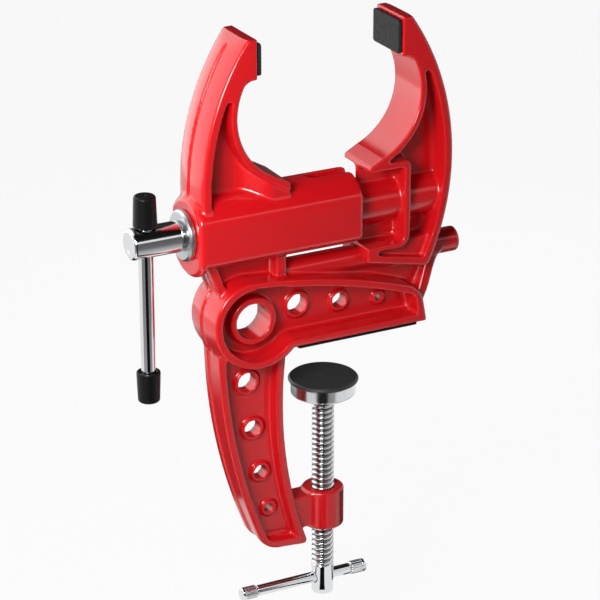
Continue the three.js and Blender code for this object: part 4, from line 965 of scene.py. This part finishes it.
def dress(piece, look, body, *nodes):
    """Gives a piece its finish in its material slot, puts it on its body and hides the CAD nodes that it stands for.
    """
    piece.data.materials.clear()
    piece.data.materials.append(material(look))
    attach(piece, body)
    if nodes:
        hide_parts(*nodes)


# Settings

def length(name, description, default, least):
    """A size in millimetres."""
    return bpy.props.FloatProperty(
        name=name, description=description + ", in millimetres", default=default, min=least)


def colour(name, description, default):
    """A colour, in linear red, green and blue."""
    return bpy.props.FloatVectorProperty(name=name, description=description, subtype="COLOR", default=default)


class ViseSizes(bpy.types.PropertyGroup):
    """Sizes that a user would change."""

    cell: length("Casting mesh", "Edge length of the castings' mesh", 1.35, 0.8)
    pitch: length("Thread pitch", "Distance between the screws' turns", 4.0, 1)
    thread_depth: length("Thread depth", "Depth of the screws' thread", 1.7, 0)
    knurl_depth: length("Knurl depth", "Depth of the grips' knurl", 0.45, 0)
    pad_grain: length("Pad grain", "Depth of the pads' pits", 0.12, 0)


class ViseColours(bpy.types.PropertyGroup):
    """Colours that a user would change."""

    paint: colour("Paint", "Colour of the castings", (0.61, 0.006, 0.010))
    rubber: colour("Rubber", "Colour of pads, caps and strip", (0.005, 0.005, 0.005))
    chrome: colour("Chrome", "Colour of plated pieces", (0.78, 0.79, 0.81))
    steel: colour("Steel", "Colour of plain steel", (0.45, 0.45, 0.46))
    bronze: colour("Bronze", "Colour of bush and nut", (0.55, 0.36, 0.15))


# Operators

class VISE_OT_castings(bpy.types.Operator):
    """Make the frame casting and the sliding jaw"""

    bl_idname = "vise.castings"
    bl_label = "Castings"

    def execute(self, context):
        for name, field, body, cad in (
                ("frame_body", frame_field, "frame", "frame_casting"),
                ("sliding_jaw", moving_jaw_field, "moving_jaw", "moving_jaw")):
            low, high = np.array(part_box(cad)) / MM
            piece = cast_surface(name, field, low, high, context.scene.vise_sizes.cell)
            dress(piece, "red paint", body, cad)
        return {"FINISHED"}


class VISE_OT_rubber(bpy.types.Operator):
    """Make the jaw pads, the bench strip and the disc's cap"""

    bl_idname = "vise.rubber"
    bl_label = "Rubber"

    def execute(self, context):
        for name, start, top, body, cad in (
                ("left_pad", PAD_FACE_X[0] - PAD_THICKNESS, LEFT_PAD_TOP_Z, "frame", "fixed_jaw_pad"),
                ("right_pad", PAD_FACE_X[1], PAD_Z[1], "moving_jaw", "moving_jaw_pad")):
            low, high = (start, -PAD_HALF, PAD_Z[0]), (start + PAD_THICKNESS, PAD_HALF, top)
            field = pad_field(low, high, context.scene.vise_sizes.pad_grain)
            dress(cast_surface(name, field, low, high, PAD_CELL), "pad rubber", body, cad)
        low, high = (STRIP_X[0], -STRIP_HALF, 0.0), (STRIP_X[1], STRIP_HALF, STRIP_THICKNESS)
        piece = cast_surface("under_strip", strip_field, low, high, STRIP_CELL)
        dress(piece, "black rubber", "frame", "bench_strip")
        make_turned("disc_rubber")
        return {"FINISHED"}


class VISE_OT_spindle(bpy.types.Operator):
    """Make the jaw spindle, its washer and its T-bar"""

    bl_idname = "vise.spindle"
    bl_label = "Jaw spindle"

    def execute(self, context):
        sizes = context.scene.vise_sizes
        low = (HEAD_X[0], -HEAD_RADIUS, SPINDLE_Z - HEAD_RADIUS)
        high = (SHANK_X[1], HEAD_RADIUS, SPINDLE_Z + HEAD_RADIUS)
        piece = cast_surface("spindle_head", spindle_head_field, low, high, HEAD_CELL)
        dress(piece, "chrome along x", "jaw_spindle", "jaw_spindle")
        piece = threaded(
            "spindle_thread", *SPINDLE_THREAD_X, sizes.thread_depth, sizes.pitch, "X", (0, 0, SPINDLE_Z))
        dress(piece, "spindle thread", "jaw_spindle")
        make_turned("thrust_washer", "tommy_bar", "upper_grip", "lower_grip")
        return {"FINISHED"}


class VISE_OT_clamp(bpy.types.Operator):
    """Make the clamp screw, its disc and its T-bar"""

    bl_idname = "vise.clamp"
    bl_label = "Bench clamp"

    def execute(self, context):
        sizes = context.scene.vise_sizes
        low, high = (-SHANK_RADIUS, -SHANK_RADIUS, SCREW_Z[0]), (SHANK_RADIUS, SHANK_RADIUS, SCREW_Z[1])
        piece = cast_surface("screw_foot", screw_foot_field, low, high, FOOT_CELL)
        dress(piece, "chrome along z", "clamp_screw", "clamp_screw")
        piece = threaded("screw_thread", *SCREW_THREAD_Z, sizes.thread_depth, sizes.pitch, "Z", (0, 0, 0))
        dress(piece, "clamp thread", "clamp_screw")
        make_turned("screw_spigot", "swivel_disc", "clamp_rod")
        for name, way, start, cad in (
                ("left_sleeve", -1, SLEEVE_X[0], "clamp_bar_end_left"),
                ("right_sleeve", 1, SLEEVE_X[1], "clamp_bar_end_right")):
            piece = splined(name, start, way, sizes.knurl_depth, (0, 0, CLAMP_BAR_Z))
            dress(piece, "chrome along x", "clamp_bar", cad)
        return {"FINISHED"}


class VISE_OT_inner(bpy.types.Operator):
    """Give the inner pieces that keep their CAD shape a finish"""

    bl_idname = "vise.inner"
    bl_label = "Inner pieces"

    def execute(self, context):
        for name, look in (
                ("spindle_bush", "bronze"), ("spindle_nut", "bronze"), ("spindle_collar", "steel"),
                ("collar_pin", "steel"), ("nut_pin", "steel"), ("disc_clip", "steel")):
            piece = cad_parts[name]
            piece.data.materials.clear()
            piece.data.materials.append(material(look))
        return {"FINISHED"}


class VISE_OT_stage(bpy.types.Operator):
    """Make the camera, the floor, the surround, the lamps and the cards"""

    bl_idname = "vise.stage"
    bl_label = "Stage"

    def execute(self, context):
        make_camera(context.scene)
        make_floor()
        make_world(context.scene)
        for lamp in LAMPS:
            make_lamp(context.scene, *lamp)
        for card in CARDS:
            make_card(*card)
        context.scene.view_settings.view_transform = "Standard"
        return {"FINISHED"}


def make_camera(scene):
    """The photograph's camera: its view turned and raised from straight on, its place measured along that view."""
    turn, rise = math.radians(CAMERA_TURN), math.radians(CAMERA_RISE)
    ahead = Vector((math.sin(turn) * math.cos(rise), math.cos(turn) * math.cos(rise), -math.sin(rise)))
    right = Vector((math.cos(turn), -math.sin(turn), 0))
    up = right.cross(ahead)
    camera = bpy.data.cameras.new("camera")
    camera.sensor_width = SENSOR_WIDTH
    camera.lens = FOCAL_LENGTH / IMAGE_WIDTH * SENSOR_WIDTH
    camera.clip_end = CLIP_END
    made = bpy.data.objects.new("camera", camera)
    made.matrix_world = Matrix((right, up, -ahead)).transposed().to_4x4()
    made.location = (right * CAMERA_PLACE[0] + up * CAMERA_PLACE[1] + ahead * CAMERA_PLACE[2]) * MM
    scene.collection.objects.link(made)
    scene.camera = made


def make_lamp(scene, name, place, aim, size, power, lights, shown):
    """A soft lamp: a rectangle that looks from its place to its aim."""
    lamp = bpy.data.lights.new(name, "AREA")
    lamp.shape = "RECTANGLE"
    lamp.size, lamp.size_y = size
    lamp.energy = power
    made = bpy.data.objects.new(name, lamp)
    made.location = place
    made.rotation_euler = (Vector(aim) - Vector(place)).to_track_quat("-Z", "Y").to_euler()
    made.visible_diffuse, made.visible_glossy, made.visible_camera = lights, shown, False
    scene.collection.objects.link(made)


def make_card(name, ends, profile):
    """A card round the vise that only reflections show: a profile of reach, height and grey carried round a turn."""
    turn = np.radians(np.linspace(*ends, CARD_STEPS))
    reach, height, grey = np.array(profile).T
    points = np.stack(np.broadcast_arrays(np.outer(np.cos(turn), reach), np.outer(np.sin(turn), reach), height), -1)
    index = np.arange(turn.size * reach.size).reshape(turn.size, reach.size)
    faces = np.stack([index[:-1, :-1], index[1:, :-1], index[1:, 1:], index[:-1, 1:]], -1).reshape(-1, 4)
    card = make_object(name.replace(" ", "_"), points.reshape(-1, 3) / MM, [faces])
    greys = card.data.attributes.new("grey", "FLOAT", "POINT")
    greys.data.foreach_set("value", np.tile(grey, turn.size).astype(np.float32))
    look = bpy.data.materials.new(name)
    tree = blank(look)
    out = node(tree, "ShaderNodeOutputMaterial")
    glow = node(tree, "ShaderNodeEmission")
    shade = node(tree, "ShaderNodeAttribute", attribute_name="grey")
    wire(tree, (shade, "Fac", glow, "Color"), (glow, "Emission", out, "Surface"))
    card.data.materials.append(look)
    for ray in HIDDEN_RAYS:
        setattr(card, "visible_" + ray, False)


def seen(tree):
    """A node whose value is 1 for camera, glossy and transmission rays and 0 for the rays that light surfaces."""
    paths = node(tree, "ShaderNodeLightPath")
    first = node(tree, "ShaderNodeMath", operation="MAXIMUM")
    second = node(tree, "ShaderNodeMath", operation="MAXIMUM")
    wire(tree, (paths, "Is Camera Ray", first, 0), (paths, "Is Glossy Ray", first, 1),
         (first, "Value", second, 0), (paths, "Is Transmission Ray", second, 1))
    return second


def make_floor():
    """A pale floor, low enough to clear the clamp screw wound right down, and wide enough to reach past the view: a
    matt grey that is mostly glow to the rays that see it."""
    square = np.array([(-1, -1), (1, -1), (1, 1), (-1, 1)]) * FLOOR_REACH
    points = np.insert(square, 2, SCREW_Z[0] - SCREW_DROP, 1)
    floor = make_object("floor", points, [np.array([[0, 1, 2, 3]])])
    look = bpy.data.materials.new("pale floor")
    tree = blank(look)
    out = node(tree, "ShaderNodeOutputMaterial")
    matt = node(tree, "ShaderNodeBsdfDiffuse", in_Color=(FLOOR_GREY, FLOOR_GREY, FLOOR_GREY, 1))
    glow = node(tree, "ShaderNodeEmission")
    mix = node(tree, "ShaderNodeMixShader")
    share = node(tree, "ShaderNodeMath", operation="MULTIPLY")
    share.inputs[1].default_value = FLOOR_GLOW
    wire(tree, (seen(tree), "Value", share, 0), (share, "Value", mix, "Fac"), (matt, "BSDF", mix, 1),
         (glow, "Emission", mix, 2), (mix, "Shader", out, "Surface"))
    floor.data.materials.append(look)


def make_world(scene):
    """A white surround for what is seen, and a faint white light for what it lights."""
    scene.world = bpy.data.worlds.new("studio")
    tree = blank(scene.world)
    out = node(tree, "ShaderNodeOutputWorld")
    back = node(tree, "ShaderNodeBackground", in_Color=(1, 1, 1, 1))
    level = node(tree, "ShaderNodeMapRange", in_To_Min=WORLD_LIGHT, in_To_Max=WORLD_SEEN)
    wire(tree, (seen(tree), "Value", level, "Value"), (level, "Result", back, "Strength"),
         (back, "Background", out, "Surface"))


class VISE_PT_panel(bpy.types.Panel):
    """The vise's settings and steps"""

    bl_idname = "VISE_PT_panel"
    bl_label = "Ski tuning vise"
    bl_space_type = "VIEW_3D"
    bl_region_type = "UI"
    bl_category = "Vise"

    def draw(self, context):
        for settings in (context.scene.vise_sizes, context.scene.vise_colours):
            for key in settings.__annotations__:
                self.layout.prop(settings, key)
        for step in STEPS:
            self.layout.operator(step.bl_idname)


STEPS = (VISE_OT_stage, VISE_OT_castings, VISE_OT_rubber, VISE_OT_spindle, VISE_OT_clamp, VISE_OT_inner)
CLASSES = (ViseSizes, ViseColours, *STEPS, VISE_PT_panel)


def register():
    """Registers the classes and hangs the settings on the scene."""
    for each in CLASSES:
        bpy.utils.register_class(each)
    bpy.types.Scene.vise_sizes = bpy.props.PointerProperty(type=ViseSizes)
    bpy.types.Scene.vise_colours = bpy.props.PointerProperty(type=ViseColours)


def unregister():
    """Takes the settings off the scene and unregisters the classes."""
    del bpy.types.Scene.vise_sizes
    del bpy.types.Scene.vise_colours
    for each in reversed(CLASSES):
        bpy.utils.unregister_class(each)


def main():
    """Makes the stage and every piece."""
    register()
    bpy.ops.vise.stage()
    bpy.ops.vise.castings()
    bpy.ops.vise.rubber()
    bpy.ops.vise.spindle()
    bpy.ops.vise.clamp()
    bpy.ops.vise.inner()


if __name__ == "__main__":
    main()
